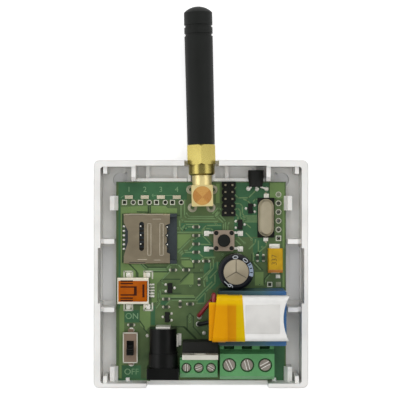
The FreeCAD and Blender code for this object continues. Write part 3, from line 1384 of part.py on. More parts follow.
def tantalum():
    """The moulded block and the strips folded round its ends."""
    x, y = RIGHT - TANTALUM_INSET, BOTTOM + TANTALUM_UP
    wide, long, high = TANTALUM_SIZE
    strip_wide, strip_long, strip_high = TANTALUM_TERMINAL
    thin = TANTALUM_SHEET
    body_long = long - 2 * thin
    body = block(span(x, wide), span(y, body_long), (FACE + thin, FACE + high))
    body = body.makeChamfer(thin * 2, edges_along(body, Vector(0, 1, 0), lambda m: m.z > FACE + high / 2))
    terminals = []
    for way in (-1, 1):
        end = y + way * body_long / 2
        foot_y = sorted((end - way * strip_long, end + way * thin))
        foot = block(span(x, strip_wide), foot_y, (FACE, FACE + thin))
        upright = block(span(x, strip_wide), sorted((end, end + way * thin)), (FACE, FACE + strip_high))
        terminals.append(joined([foot, upright]))
    return {"tantalum_body": body, "tantalum_terminals": Part.makeCompound(terminals)}


def crystal():
    """The oval can with its flange and leads, and the base under it."""
    x, y = spread(CRYSTAL_X), BOTTOM + CRYSTAL_UP
    wide, long, high = CRYSTAL_CAN
    base_wide, base_long, base_high = CRYSTAL_BASE
    base_top = FACE + base_high
    can = slot_cutter(span(x, wide), span(y, long), (base_top, base_top + high))
    can = can.makeChamfer(CRYSTAL_FLANGE * 2, edges_at_height(can, base_top + high))
    flange_x = span(x, wide + 2 * CRYSTAL_FLANGE)
    flange = slot_cutter(flange_x, span(y, long + 2 * CRYSTAL_FLANGE), (base_top, base_top + CRYSTAL_FLANGE))
    base = block(span(x, base_wide), span(y, base_long), (FACE, base_top))
    lead_wide, lead_out, lead_thick = CRYSTAL_LEAD
    leads = []
    for way in (-1, 1):
        end = y + way * base_long / 2
        lead_y = sorted((end, end + way * lead_out))
        leads.append(block(span(x, lead_wide), lead_y, (FACE, FACE + lead_thick)))
    return {"crystal_can": Part.makeCompound([joined([can, flange])] + leads), "crystal_base": base}


# Pin header
def header():
    """A notched block with two rows of pins."""
    x, y = spread(HEADER_X), TOP - HEADER_DOWN
    low_y = y - HEADER_PITCH * (HEADER_ROWS - 1) / 2
    side = HEADER_PITCH
    whole = block(span(x, 2 * side), span(y, HEADER_ROWS * side), (FACE, FACE + HEADER_RISE))
    pins = []
    notches = []
    for row in range(HEADER_ROWS):
        for column in (-0.5, 0.5):
            at = (x + column * side, low_y + row * side)
            pin_z = (UNDER - LEAD_TAIL, FACE + HEADER_PIN_RISE)
            pins.append(block(span(at[0], HEADER_PIN), span(at[1], HEADER_PIN), pin_z))
            if row:
                edge = x + 2 * column * side
                across = span(0, HEADER_NOTCH * 2)
                notch = block(across, across, (FACE - 1, FACE + HEADER_RISE + 1))
                notch.rotate(Vector(0, 0, 0), Vector(0, 0, 1), 45)
                notch.translate(Vector(edge, at[1] - side / 2, 0))
                notches.append(notch)
    return {"header_block": whole.cut(notches + pins), "header_pins": Part.makeCompound(pins)}


# Temperature sensor
def sensor():
    """A half-round body lying over the board's top edge, on three spread leads."""
    x = spread(SENSOR_X)
    low = FACE + SENSOR_LIFT
    start = TOP - SENSOR_DOWN
    wide_from = start + SENSOR_FLARE
    end = start + SENSOR_LENGTH
    radius = SENSOR_WIDTH / 2
    foot = SENSOR_FOOT / 2
    centre = Vector(x, start, low + SENSOR_THICK - radius)
    round_part = Part.makeCylinder(radius, SENSOR_LENGTH, centre, Vector(0, 1, 0))
    outline = [
        (x - foot, start), (x + foot, start), (x + radius, wide_from),
        (x + radius, end), (x - radius, end), (x - radius, wide_from),
    ]
    keep = sheet_in_xy(outline, (low, low + SENSOR_THICK + 1))
    leads = []
    lead_z = low + SENSOR_THICK / 3
    for number in (-1, 0, 1):
        out = Vector(x + number * SENSOR_PITCH, start, lead_z)
        elbow = Vector(spread(SENSOR_PAD_X) + number * SENSOR_PAD_PITCH, TOP - SENSOR_PAD_DOWN, lead_z)
        run = elbow - out
        bar = block((0, run.Length), span(0, SENSOR_LEAD), span(0, SENSOR_LEAD))
        bar.rotate(Vector(0, 0, 0), Vector(0, 0, 1), math.degrees(math.atan2(run.y, run.x)))
        bar.translate(out)
        leads.append(joined([bar, square_lead(elbow.x, elbow.y, SENSOR_LEAD, lead_z + SENSOR_LEAD / 2)]))
    return {"sensor_body": round_part.common(keep).cut(leads), "sensor_leads": Part.makeCompound(leads)}


# Relay and rechargeable cell
def relay():
    """The relay's case and its pins."""
    wide, long, high = RELAY_SIZE
    low = FACE + RELAY_LIFT
    case = block(span(RELAY_X, wide), span(RELAY_Y, long), (low, low + high))
    case = case.makeFillet(RELAY_EDGE, edges_along(case, Vector(0, 0, 1)))
    case = case.makeChamfer(RELAY_EDGE / 2, edges_at_height(case, low + high))
    pins = [square_lead(RELAY_X + dx, RELAY_Y + dy, RELAY_PIN, low) for dx, dy in RELAY_PINS]
    return {"relay_case": case, "relay_pins": Part.makeCompound(pins)}


def cell_prism(x, outset):
    """A stretch of the cell's rounded section, grown by an outset."""
    y = (RELAY_Y + CELL_LOWER - outset, RELAY_Y + CELL_UPPER + outset)
    shape = block(x, y, (RELAY_TOP - outset, RELAY_TOP + CELL_THICK + outset))
    upper = edges_along(shape, Vector(1, 0, 0), lambda middle: middle.z > RELAY_TOP + CELL_THICK / 2)
    return shape.makeFillet(CELL_ROUND + outset, upper)


def beside_line(line, way, shift=0):
    """A cutter for what lies left (-1) or right (1) of a line, given by its x at the cell's two sides."""
    low = Vector(RELAY_X + line[0] + shift, RELAY_Y + CELL_LOWER, 0)
    high = Vector(RELAY_X + line[1] + shift, RELAY_Y + CELL_UPPER, 0)
    past = (high - low) * 0.5
    ends = [low - past, high + past]
    far = [end + Vector(way * RELAY_SIZE[0], 0, 0) for end in reversed(ends)]
    outline = [(point.x, point.y) for point in ends + far]
    return sheet_in_xy(outline, (RELAY_TOP - CELL_THICK, RELAY_TOP + 2 * CELL_THICK))


def cell_and_tape():
    """The pouch cell lying on the relay, and the tape round its left end."""
    left, right = RELAY_X + min(TAPE_LEFT), RELAY_X + CELL_RIGHT
    lift = TAPE_THICK + TAPE_GAP
    lap_lift = lift + TAPE_THICK
    length = CELL_UPPER - CELL_LOWER
    middle_y = RELAY_Y + (CELL_LOWER + CELL_UPPER) / 2
    radius = (CELL_HOLLOW ** 2 + (length / 2) ** 2) / (2 * CELL_HOLLOW)
    all_z = (RELAY_TOP - 1, RELAY_TOP + CELL_THICK + 1)
    hollow = disc(radius, right - CELL_HOLLOW + radius, middle_y, all_z)
    cell = cell_prism((left, right), 0).cut([hollow, beside_line(TAPE_LEFT, -1, lift)])
    past_left = beside_line(TAPE_LEFT, -1)
    single = cell_prism((left, RELAY_X), lift).cut([past_left, beside_line(TAPE_RIGHT, 1)])
    double = cell_prism((left, RELAY_X), lap_lift).cut([past_left, beside_line(TAPE_LAP, 1)])
    inside = cell_prism((left, right), TAPE_GAP).cut(beside_line(TAPE_LEFT, -1, TAPE_THICK))
    wide, long, high = END_BOARD
    end_x = RELAY_X + END_BOARD_LEFT
    end_z = (RELAY_TOP - lap_lift, RELAY_TOP + high)
    end = block((end_x, end_x + wide), span(middle_y + END_BOARD_OFF, long), end_z)
    shapes = {"battery_cell": cell, "battery_tape": joined([single, double, end]).cut(inside)}
    for shape in shapes.values():
        shape.translate(Vector(0, 0, lap_lift))
    return shapes


def cell_leads():
    """Two wires from the cell's end board down to their pads."""
    _, long, high = END_BOARD
    x = RELAY_X + WIRE_LEFT
    middle_y = RELAY_Y + (CELL_LOWER + CELL_UPPER) / 2
    start = Vector(x, middle_y + END_BOARD_OFF + long / 2 + WIRE_GAP, RELAY_TOP + high / 2)
    red_pad = Vector(PAD_X, BOTTOM + RED_PAD_UP, FACE)
    red = [
        start,
        start + Vector(0, RED_LOOP, 0),
        Vector(x + RED_ELBOW[0], start.y + RED_ELBOW[1], FACE + RED_ELBOW[2]),
        red_pad + Vector(0, 0, RED_PAD_STANDOFF),
        red_pad,
    ]
    black_y = middle_y - BLACK_DOWN
    black_pad = Vector(PAD_X, BOTTOM + BLACK_PAD_UP, FACE)
    black = [
        Vector(x, black_y, RELAY_TOP - WIRE_GAP),
        Vector(x, black_y, FACE + BLACK_ELBOW_RISE),
        black_pad + Vector(0, 0, BLACK_PAD_STANDOFF),
        black_pad,
    ]
    return {
        "battery_lead_red": held_wire(red, WIRE, WIRE_BEND),
        "battery_lead_black": held_wire(black, WIRE, WIRE_BEND),
    }


# Chips
def under_board_chips():
    """The radio module and the controller on the board's underside."""
    x, y = spread(MODEM_X), BOTTOM + MODEM_UP
    wide, long, high = MODEM_SIZE
    carrier = block(span(x, wide), span(y, long), (UNDER - MODEM_BOARD, UNDER))
    inset = 2 * MODEM_CAN_INSET
    can = block(span(x, wide - inset), span(y, long - inset), (UNDER - high, UNDER - MODEM_BOARD))
    can = can.makeFillet(MODEM_CAN_INSET, edges_along(can, Vector(0, 0, 1)))
    cx, cy = spread(CONTROLLER_X), BOTTOM + CONTROLLER_UP
    pin_wide, pin_out, pin_thick = CONTROLLER_PIN
    body_z = (UNDER - pin_thick / 2 - CONTROLLER_THICK, UNDER - pin_thick / 2)
    pieces = [block(span(cx, CONTROLLER_SIDE), span(cy, CONTROLLER_SIDE), body_z)]
    reach = CONTROLLER_SIDE / 2 + pin_out
    for number in range(CONTROLLER_PINS):
        at = CONTROLLER_PITCH * (number - (CONTROLLER_PINS - 1) / 2)
        for way in (-1, 1):
            out = sorted((way * (CONTROLLER_SIDE / 2 - pin_thick), way * reach))
            z = (UNDER - pin_thick, UNDER)
            pieces.append(block((cx + out[0], cx + out[1]), span(cy + at, pin_wide), z))
            pieces.append(block(span(cx + at, pin_wide), (cy + out[0], cy + out[1]), z))
    return {"gsm_modem": joined([carrier, can]), "microcontroller": joined(pieces)}


def small_chips():
    """Resistors, capacitors and lamps, and the three-legged transistors."""
    long, wide, high = CHIP_SIZE
    places = [(spread(x), BOTTOM + up, turn) for x, up, turn in CHIPS]
    places += [(spread(x), TOP - LAMP_DOWN, False) for x in LAMP_X]
    chips = []
    for x, y, turn in places:
        size = (wide, long) if turn else (long, wide)
        chips.append(block(span(x, size[0]), span(y, size[1]), (FACE, FACE + high)))
    transistors = []
    for at_x, up, side in SOTS:
        x, y = spread(at_x), BOTTOM + up
        body_long, body_wide, body_high = SOT_SIZE
        leg_wide, leg_out, leg_thick = SOT_LEG
        pieces = [block(span(x, body_wide), span(y, body_long), (FACE + leg_thick / 2, FACE + body_high))]
        for dy, way in ((-SOT_PITCH, side), (SOT_PITCH, side), (0, -side)):
            leg_x = sorted((x + way * (body_wide / 2 - leg_thick), x + way * (body_wide / 2 + leg_out)))
            pieces.append(block(leg_x, span(y + dy, leg_wide), (FACE, FACE + leg_thick)))
        transistors.append(joined(pieces))
    return {
        "chip_passives": Part.makeCompound(chips),
        "small_transistors": Part.makeCompound(transistors),
    }


# Circuit board
def circuit_board(leads):
    """The board, with a hole for each lead and the free plated holes."""
    board = block((LEFT, RIGHT), (BOTTOM, TOP), (UNDER, FACE))
    all_z = (UNDER - 1, FACE + 1)
    holes = []
    for x in HOLE_PAIRS_X:
        for step in (0, HOLE_PAIR):
            holes.append(disc(HOLE / 2, spread(x) + step, TOP - HOLE_PAIRS_DOWN, all_z))
    for number in range(COLUMN_HOLES):
        y = TOP - HOLE_COLUMN_DOWN - number * HOLE_PAIR
        holes.append(disc(HOLE / 2, RIGHT - HOLE_COLUMN_INSET, y, all_z))
    return board.cut(leads + holes)


def all_pieces():
    """Every named piece."""
    pieces = {"base_tray": base_tray()}
    for group in (
        antenna_pieces(), sim_holder(), usb_socket(), slide_switch(), tact_switch(), power_socket(),
        regulator(), round_capacitor(), tantalum(), crystal(), header(), sensor(), relay(),
        cell_and_tape(), cell_leads(), under_board_chips(), small_chips(),
    ):
        pieces.update(group)
    small, small_contacts = terminal(SMALL_TERMINAL, SMALL_X, (88, 20, 150))
    big, big_contacts = terminal(BIG_TERMINAL, BIG_X, (115, 105, 28), notched=True)
    pieces.update(small)
    pieces.update(big)
    pieces["terminal_contacts"] = Part.makeCompound(small_contacts + big_contacts)
    through_board = (
        "antenna_jack_body", "slide_switch_frame", "dc_jack_contacts", "regulator_tab",
        "terminal_contacts", "capacitor_can", "header_pins", "sensor_leads", "relay_pins",
    )
    leads = [solid for name in through_board for solid in pieces[name].Solids]
    pieces["circuit_board"] = circuit_board(leads)
    return pieces


def main():
    """Writes one file for each piece."""
    os.makedirs("parts", exist_ok=True)
    for name, shape in all_pieces().items():
        solids = shape.Solids
        if not solids or not all(solid.isValid() for solid in solids):
            raise ValueError(f"{name} is not a valid solid")
        whole = solids[0] if len(solids) == 1 else Part.makeCompound(solids)
        whole.exportStep(f"parts/{name}.step")
        print(f"{name}: {len(solids)} solids, {sum(s.Volume for s in solids):.1f} mm3")


main()
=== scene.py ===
"""Looks of a GSM boiler control module: an open wall tray with its circuit board and stub antenna."""

import json
import logging
import math
from dataclasses import dataclass, field
from enum import Enum
from typing import Iterable, Optional, Sequence, Union

import bmesh
import bpy
from mathutils import Matrix, Vector

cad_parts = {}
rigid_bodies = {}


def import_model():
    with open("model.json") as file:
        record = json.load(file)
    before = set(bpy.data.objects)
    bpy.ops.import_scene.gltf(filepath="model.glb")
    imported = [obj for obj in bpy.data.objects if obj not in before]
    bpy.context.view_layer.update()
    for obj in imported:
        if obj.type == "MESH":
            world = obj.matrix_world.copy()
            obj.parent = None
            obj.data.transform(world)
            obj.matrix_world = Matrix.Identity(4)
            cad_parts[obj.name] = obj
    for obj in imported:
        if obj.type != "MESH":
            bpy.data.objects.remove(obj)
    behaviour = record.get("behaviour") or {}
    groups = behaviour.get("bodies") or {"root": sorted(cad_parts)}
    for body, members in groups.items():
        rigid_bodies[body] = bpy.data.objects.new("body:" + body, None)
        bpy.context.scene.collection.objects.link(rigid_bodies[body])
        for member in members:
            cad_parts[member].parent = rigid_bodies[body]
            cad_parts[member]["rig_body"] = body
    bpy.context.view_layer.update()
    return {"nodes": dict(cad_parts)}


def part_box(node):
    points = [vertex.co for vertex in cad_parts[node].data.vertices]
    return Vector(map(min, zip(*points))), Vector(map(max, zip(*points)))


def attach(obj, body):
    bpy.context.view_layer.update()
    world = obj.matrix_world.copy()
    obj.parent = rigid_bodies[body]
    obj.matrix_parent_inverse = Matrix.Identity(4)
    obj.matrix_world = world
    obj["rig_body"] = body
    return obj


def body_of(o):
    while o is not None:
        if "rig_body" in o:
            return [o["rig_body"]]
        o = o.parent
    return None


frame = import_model()

LOG = logging.getLogger("boiler_module")
MM = 0.001
FIXED = "module"
MATERIALS: dict[str, bpy.types.Material] = {}

Tree = bpy.types.NodeTree
Socket = bpy.types.NodeSocket
Mesh = bmesh.types.BMesh
Input = Union[float, Sequence[float], Socket]
Point = tuple[float, float]
Line = Sequence[Point]
Spot = Sequence[float]
Box = tuple[Vector, Vector]

# Between which values the noise textures mostly stay, and how fine they are
CLOUD_SPAN = (0.35, 0.65)
CLOUD_DETAIL = 3.0
GRAIN_SPAN = (0.3, 0.7)
GRAIN_DETAIL = 4.0
BUMP_STRENGTH = 0.6
# How deep red, green and blue light wander under a soft surface, in metres
GLOW_DEPTH = (0.0008, 0.0006, 0.0005)
# Blender's wave texture runs through this many radians over one unit
WAVE_RADIANS = 20
# Vertices nearer than this are one: in millimetres in new meshes, in metres in the frame's
WELD_MM = 1e-4
WELD_METRES = 1e-6
# Edges flatter than this, in degrees, are shaded smooth
SMOOTH_ANGLE = 40.0
# The font's size for capitals of height 1
FONT_SIZE = 1.4
# How far a stretch of a line passes its corner, as a share of the line's width
CORNER_OVERLAP = 0.3


# Colour and node helpers


def linear(hex_colour: str) -> tuple[float, float, float, float]:
    """Turns an sRGB hex value into the linear colour that shaders use.

    Args:
        hex_colour: six hex digits.

    Returns:
        Linear red, green, blue and an alpha of 1.
    """
    shares = [int(hex_colour[at : at + 2], 16) / 255 for at in (0, 2, 4)]
    red, green, blue = (s / 12.92 if s <= 0.04045 else ((s + 0.055) / 1.055) ** 2.4 for s in shares)
    return red, green, blue, 1.0


def add_node(
    tree: Tree,
    kind: str,
    settings: Optional[dict[str, object]] = None,
    inputs: Optional[dict[Union[str, int], Input]] = None,
) -> bpy.types.Node:
    """Adds a node with its settings and links.

    Args:
        tree: the tree that gets the node.
        kind: the node's type name.
        settings: properties of the node by name.
        inputs: values or output sockets by input name or number.

    Returns:
        The new node.
    """
    node = tree.nodes.new(kind)
    for name, value in (settings or {}).items():
        setattr(node, name, value)
    for name, value in (inputs or {}).items():
        if isinstance(value, Socket):
            tree.links.new(value, node.inputs[name])
        else:
            node.inputs[name].default_value = value
    return node


def emptied(owner: Union[bpy.types.Material, bpy.types.World]) -> Tree:
    """Gives a material or a world an empty node tree.

    Args:
        owner: the material or the world.

    Returns:
        The tree.
    """
    owner.use_nodes = True
    owner.node_tree.nodes.clear()
    return owner.node_tree


def coordinates(tree: Tree) -> Socket:
    """The object coordinates, in metres."""
    return add_node(tree, "ShaderNodeTexCoord").outputs["Object"]


def part_of(tree: Tree, vector: Socket, axis: str) -> Socket:
    """The X, Y or Z of a vector."""
    return add_node(tree, "ShaderNodeSeparateXYZ", inputs={"Vector": vector}).outputs[axis]


def arithmetic(tree: Tree, operation: str, *values: Input) -> Socket:
    """The result of an operation, named as Blender names it, on one to three values."""
    return add_node(tree, "ShaderNodeMath", {"operation": operation}, dict(enumerate(values))).outputs[0]


def mixed(tree: Tree, share: Input, first: Input, second: Input) -> Socket:
    """A mix of two colours with this share of the second."""
    inputs = {0: share, 6: first, 7: second}
    return add_node(tree, "ShaderNodeMix", {"data_type": "RGBA"}, inputs).outputs[2]


def noise(tree: Tree, place: Socket, size_mm: float, detail: float) -> Socket:
    """Clouds or grains of this size."""
    inputs = {"Vector": place, "Scale": 1 / (size_mm * MM), "Detail": detail}
    return add_node(tree, "ShaderNodeTexNoise", inputs=inputs).outputs["Fac"]


def mapped(
    tree: Tree, value: Socket, ends: Spot, results: Sequence[Input] = (0.0, 1.0), curve: str = "LINEAR"
) -> Socket:
    """Turns a value between two ends into one between two results.

    Args:
        tree: the tree that gets the node.
        value: the value.
        ends: its lowest and its highest.
        results: what these become.
        curve: how the result runs between them, named as Blender names it.

    Returns:
        The result.
    """
    names = ("Value", "From Min", "From Max", "To Min", "To Max")
    inputs = dict(zip(names, (value, *ends, *results)))
    return add_node(tree, "ShaderNodeMapRange", {"interpolation_type": curve}, inputs).outputs["Result"]


# Finishes


@dataclass(frozen=True)
class Finish:
    """A surface with a fine grain, a slow drift of colour, and one kind of gloss."""

    name: str
    colour: str
    drift: str
    roughness: float
    metallic: float = 0.0
    grain_mm: float = 0.35
    grain_depth_mm: float = 0.01
    grain_stretch: tuple[float, float, float] = (1.0, 1.0, 1.0)
    cloud_mm: float = 6.0
    roughness_spread: float = 0.06
    coat: float = 0.0
    specular: float = 0.5
    subsurface: float = 0.0

    def material(self) -> bpy.types.Material:
        """Makes the material, or finds it if it was made before.

        Returns:
            The material of this finish.
        """
        if self.name in MATERIALS:
            return MATERIALS[self.name]
        made = MATERIALS[self.name] = bpy.data.materials.new(self.name)
        tree = emptied(made)
        add_node(tree, "ShaderNodeOutputMaterial", inputs={"Surface": self.shader(tree)})
        return made

    def drifted(self, tree: Tree) -> Socket:
        """A colour that drifts between the finish's two."""
        cloud = noise(tree, coordinates(tree), self.cloud_mm, CLOUD_DETAIL)
        return mixed(tree, mapped(tree, cloud, CLOUD_SPAN), linear(self.colour), linear(self.drift))

    def base_colour(self, tree: Tree) -> Socket:
        """The colour over the surface, which is the plain drift unless a finish draws more."""
        return self.drifted(tree)

    def shader(self, tree: Tree) -> Socket:
        """Builds the surface shader.

        Args:
            tree: the material's tree.

        Returns:
            The shader's socket.
        """
        stretch = {"Vector": coordinates(tree), "Scale": self.grain_stretch}
        stretched = add_node(tree, "ShaderNodeMapping", inputs=stretch).outputs["Vector"]
        grain = noise(tree, stretched, self.grain_mm, GRAIN_DETAIL)
        limits = (self.roughness - self.roughness_spread, self.roughness + self.roughness_spread)
        relief = {"Height": grain, "Distance": self.grain_depth_mm * MM, "Strength": BUMP_STRENGTH}
        bump = add_node(tree, "ShaderNodeBump", inputs=relief)
        surface = {
            "Base Color": self.base_colour(tree),
            "Roughness": mapped(tree, grain, GRAIN_SPAN, limits),
            "Metallic": self.metallic,
            "Specular IOR Level": self.specular,
            "Coat Weight": self.coat,
            "Subsurface Weight": self.subsurface,
            "Subsurface Radius": GLOW_DEPTH,
            "Normal": bump.outputs["Normal"],
        }
        return add_node(tree, "ShaderNodeBsdfPrincipled", inputs=surface).outputs["BSDF"]


@dataclass(frozen=True)
class SolderMask(Finish):
    """Lacquer over glass laminate: the weave shows faintly, and the cut edge shows the bare laminate."""

    laminate: str = "8F9468"
    weave: str = "5E7448"
    weave_radian_mm: float = 0.55
    weave_share: float = 0.3
    waviness: float = 0.6
    level_from: float = 0.5

    def base_colour(self, tree: Tree) -> Socket:
        """Draws the weave under the lacquer, and the bare laminate at the edge.

        Args:
            tree: the material's tree.

        Returns:
            The colour.
        """
        scale = 1 / (self.weave_radian_mm * MM * WAVE_RADIANS)
        inputs = {"Vector": coordinates(tree), "Scale": scale, "Distortion": self.waviness, "Detail": 1.0}
        ways = ({"bands_direction": "X"}, {"bands_direction": "Y"})
        threads = [add_node(tree, "ShaderNodeTexWave", way, inputs).outputs["Fac"] for way in ways]
        faint = arithmetic(tree, "MULTIPLY", arithmetic(tree, "MULTIPLY", *threads), self.weave_share)
        woven = mixed(tree, faint, self.drifted(tree), linear(self.weave))
        normal = add_node(tree, "ShaderNodeNewGeometry").outputs["Normal"]
        level = arithmetic(tree, "ABSOLUTE", part_of(tree, normal, "Z"))
        face = arithmetic(tree, "GREATER_THAN", level, self.level_from)
        return mixed(tree, face, linear(self.laminate), woven)


@dataclass(frozen=True)
class PaintedWedges(Finish):
    """A round face with painted highlight and shade in wedges that fan out from its middle, as light falls on
    a turned or domed face.
    """

    middle_mm: Point = (0.0, 0.0)
    # Colour of the painted shade in the wedges
    wedge_shade: str = "A8682A"
    folds: int = 2
    phase: float = math.pi / 2
    softness: float = 0.15

    def base_colour(self, tree: Tree) -> Socket:
        """Draws the wedges of painted shade.

        Args:
            tree: the material's tree.

        Returns:
            The colour.
        """
        shift = (-self.middle_mm[0] * MM, -self.middle_mm[1] * MM, 0.0)
        inputs = {"Vector": coordinates(tree), "Location": shift}
        centred = add_node(tree, "ShaderNodeMapping", inputs=inputs).outputs["Vector"]
        turn = add_node(tree, "ShaderNodeTexGradient", {"gradient_type": "RADIAL"}, {"Vector": centred})
        angle = arithmetic(tree, "MULTIPLY_ADD", turn.outputs["Fac"], math.tau * self.folds, self.phase)
        share = mapped(tree, arithmetic(tree, "SINE", angle), (-self.softness, self.softness))
        return mixed(tree, share, self.drifted(tree), linear(self.wedge_shade))


@dataclass(frozen=True)
class Graded(Finish):
    """A finish whose colour changes along the module, and past a line across it into a painted highlight."""

    stops: tuple[tuple[float, str], ...] = ()
    # The painted highlight's colour, and between which places along Y it rises
    upper: str = ""
    upper_mm: Point = (0.0, 1.0)
    cloud_share: float = 0.25

    def rise(self, tree: Tree, axis: str, ends: Point) -> Socket:
        """A share that rises from 0 to 1 between two places on an axis, in millimetres."""
        return mapped(tree, part_of(tree, coordinates(tree), axis), (ends[0] * MM, ends[1] * MM))

    def base_colour(self, tree: Tree) -> Socket:
        """Runs through the stops along X, a little clouded, and blends into the painted highlight's colour
        along Y.

        Args:
            tree: the material's tree.

        Returns:
            The colour.
        """
        first, last = self.stops[0][0], self.stops[-1][0]
        band = add_node(tree, "ShaderNodeValToRGB", inputs={"Fac": self.rise(tree, "X", (first, last))})
        elements = band.color_ramp.elements
        for number, (at, colour) in enumerate(self.stops):
            share = (at - first) / (last - first)
            element = elements[number] if number < 2 else elements.new(share)
            element.position = share
            element.color = linear(colour)
        clouded = mixed(tree, self.cloud_share, band.outputs["Color"], self.drifted(tree))
        if not self.upper:
            return clouded
        return mixed(tree, self.rise(tree, "Y", self.upper_mm), clouded, linear(self.upper))


class Look(Enum):
    """Every finish of the module, named for what the real one is, or for the light or shade painted into it.
    """

    # Satin white with a soft edge glow and faint moulding grain
    ABS = Finish(
        "moulded_white_abs", "F1F0ED", "E9E8E5", 0.45, grain_mm=0.3, grain_depth_mm=0.006, subsurface=0.1
    )
    # Olive lacquer, a little glossy, with the glass weave just showing
    MASK = SolderMask(
        "green_solder_mask", "455B36", "50643B", 0.38, grain_mm=0.5, grain_depth_mm=0.004, specular=0.35
    )
    # The same lacquer with no copper under it: deeper and bluer
    FIELD = Finish("solder_mask_over_laminate", "386642", "2F5839", 0.38, grain_depth_mm=0.004, specular=0.35)
    # Lacquer over a broad copper area: brighter and yellower
    POUR = Finish("solder_mask_over_copper", "6C864E", "627C48", 0.38, grain_depth_mm=0.004, specular=0.35)
    # The narrow groove between two copper areas
    GAP = Finish("solder_mask_groove", "35492C", "2E4228", 0.45, grain_depth_mm=0.004, specular=0.3)
    # A single track, raised under the lacquer, with a light top
    TRACK = Finish("solder_mask_over_track", "6A8758", "5E7A50", 0.36, grain_depth_mm=0.004, specular=0.35)
    # Screen print that the lacquer has dulled to grey green
    DULL_INK = Finish("dulled_printed_ink", "6C9068", "7FA07A", 0.6, grain_mm=0.25)
    # Hot-dipped pads: pale silver with a slight orange-peel
    PAD = Finish("tin_dipped_pad", "D6D6C8", "C2C2B2", 0.5, metallic=0.3, grain_mm=0.4, grain_depth_mm=0.02)
    # The same tin where flux and dust have dulled it
    DULL_PAD = Finish("flux_dulled_pad", "8A9078", "767C66", 0.6, metallic=0.3, grain_mm=0.3)
    # Solder that flux has left grey
    DULL_SOLDER = Finish(
        "dulled_tin_solder", "ACA994", "98957F", 0.5, metallic=0.6, grain_mm=0.4, grain_depth_mm=0.02
    )
    # Beige lens of a small lamp
    LAMP = Finish("clouded_lamp_resin", "C4BEA4", "B2AC92", 0.4, grain_mm=0.3)
    # Bright frozen solder with wavy reflections
    SOLDER = Finish(
        "reflowed_tin_solder", "EEECE4", "D0CEC2", 0.4, metallic=0.3, grain_mm=0.5, grain_depth_mm=0.03
    )
    # Painted shade: the dark inside of an open hole
    HOLE_SHADE = Finish("painted_hole_shade", "1C1D14", "2A2B1E", 0.6, grain_mm=0.2)
    # Soft black rubber with a dull sheen
    RUBBER = Finish(
        "moulded_black_rubber", "121412", "161816", 0.55, grain_mm=0.4, grain_depth_mm=0.01, specular=0.2
    )
    # Warm yellow metal that mirrors the room
    GOLD = Finish(
        "gold_plated_brass", "AEA05C", "A09252", 0.28, metallic=1.0, grain_mm=0.3, grain_depth_mm=0.001,
        roughness_spread=0.02,
    )
    # Gold painted paler and made less metallic, standing in for the bright reflection on the socket's body,
    # with a satin look
    PALE_GOLD = Finish("gold_with_painted_reflection", "F2E2A4", "E6D494", 0.36, metallic=0.6, grain_mm=0.3)
    # Waxy white with light in its edge
    PTFE = Finish("white_ptfe", "E8E8E2", "DDDDD4", 0.5, subsurface=0.2)
    # Clear amber film over a turned face, with wedges of painted highlight and shade fanning from its middle
    FILM = PaintedWedges(
        "amber_film_disc", "C28E42", "C69448", 0.3, coat=0.1, cloud_mm=3.0, middle_mm=(0.41, 21.96),
        wedge_shade="B27A34",
    )
    # Dull nickel with fine rolling lines
    CARD_STEEL = Finish(
        "stamped_nickel_silver", "A89C84", "9A8E78", 0.42, metallic=1.0, grain_mm=0.2,
        grain_stretch=(0.1, 1.0, 1.0), grain_depth_mm=0.003,
    )
    # The same metal where an edge or a pressed shape catches the light
    PRESSED_EDGE = Finish("bright_pressed_edge", "D6CCB6", "C6BCA6", 0.4, metallic=0.5)
    # Slate-coloured glass-filled plastic, slightly chalky
    SLATE = Finish("slate_connector_plastic", "343B3E", "2D3336", 0.55, grain_mm=0.2, specular=0.3)
    # Black connector plastic with a fine matt grain
    BLACK_LCP = Finish("black_connector_plastic", "181A17", "131412", 0.55, grain_mm=0.2, specular=0.2)
    # Spring contacts with a thin gold flash
    CONTACT = Finish("gold_flashed_spring_contact", "A8A08A", "968E78", 0.45, metallic=1.0, grain_mm=0.2)
    # The card contacts, which lie in the shade of their holder
    SHADED_CONTACT = Finish("shaded_spring_contact", "3E3C34", "2E2C26", 0.5, metallic=0.8, grain_mm=0.2)
    # Bright plated shell
    USB_STEEL = Finish("bright_nickel_shell", "F4EEDE", "E6DECA", 0.42, metallic=0.5, grain_mm=0.3)
    # Clear orange film pressed over the shell
    USB_FILM = Finish(
        "orange_polyimide_film", "B05800", "A04C00", 0.42, specular=0.1, cloud_mm=3.0, grain_mm=1.0
    )
    # Painted shade where the film is pressed into the shell's stamped shapes: nearly black
    USB_CREASE_SHADE = Finish(
        "orange_film_crease_shade", "2E0E00", "3C1400", 0.5, cloud_mm=1.0, grain_mm=0.4, specular=0.2
    )
    # Sheet steel with a warm tin coat, brushed
    TIN_STEEL = Finish(
        "tinned_spring_steel", "B8A896", "A89886", 0.42, metallic=0.9, grain_mm=0.2,
        grain_stretch=(1.0, 0.15, 1.0),
    )
    # The same with a warmer, brownish coat
    SWITCH_STEEL = Finish("plated_switch_frame", "A08C7A", "927E6C", 0.45, metallic=0.8, grain_mm=0.2)
    # Charcoal push button, smooth from handling
    BUTTON = Finish("dark_nylon_button", "121512", "161916", 0.42, specular=0.25)
    # Matt epoxy with the moulding's fine pits
    EPOXY = Finish(
        "black_epoxy_compound", "151614", "1C1D1A", 0.6, grain_mm=0.18, grain_depth_mm=0.012, specular=0.2
    )
    # Smooth black plastic, a little glossy
    JACK = Finish("black_moulded_socket", "090A09", "0E0F0E", 0.34, grain_mm=0.25, specular=0.15)
    # Pale tinned metal, satin
    TAB = Finish("tinned_copper_tab", "DEDCD0", "CFCDC0", 0.42, metallic=0.5, grain_mm=0.3)
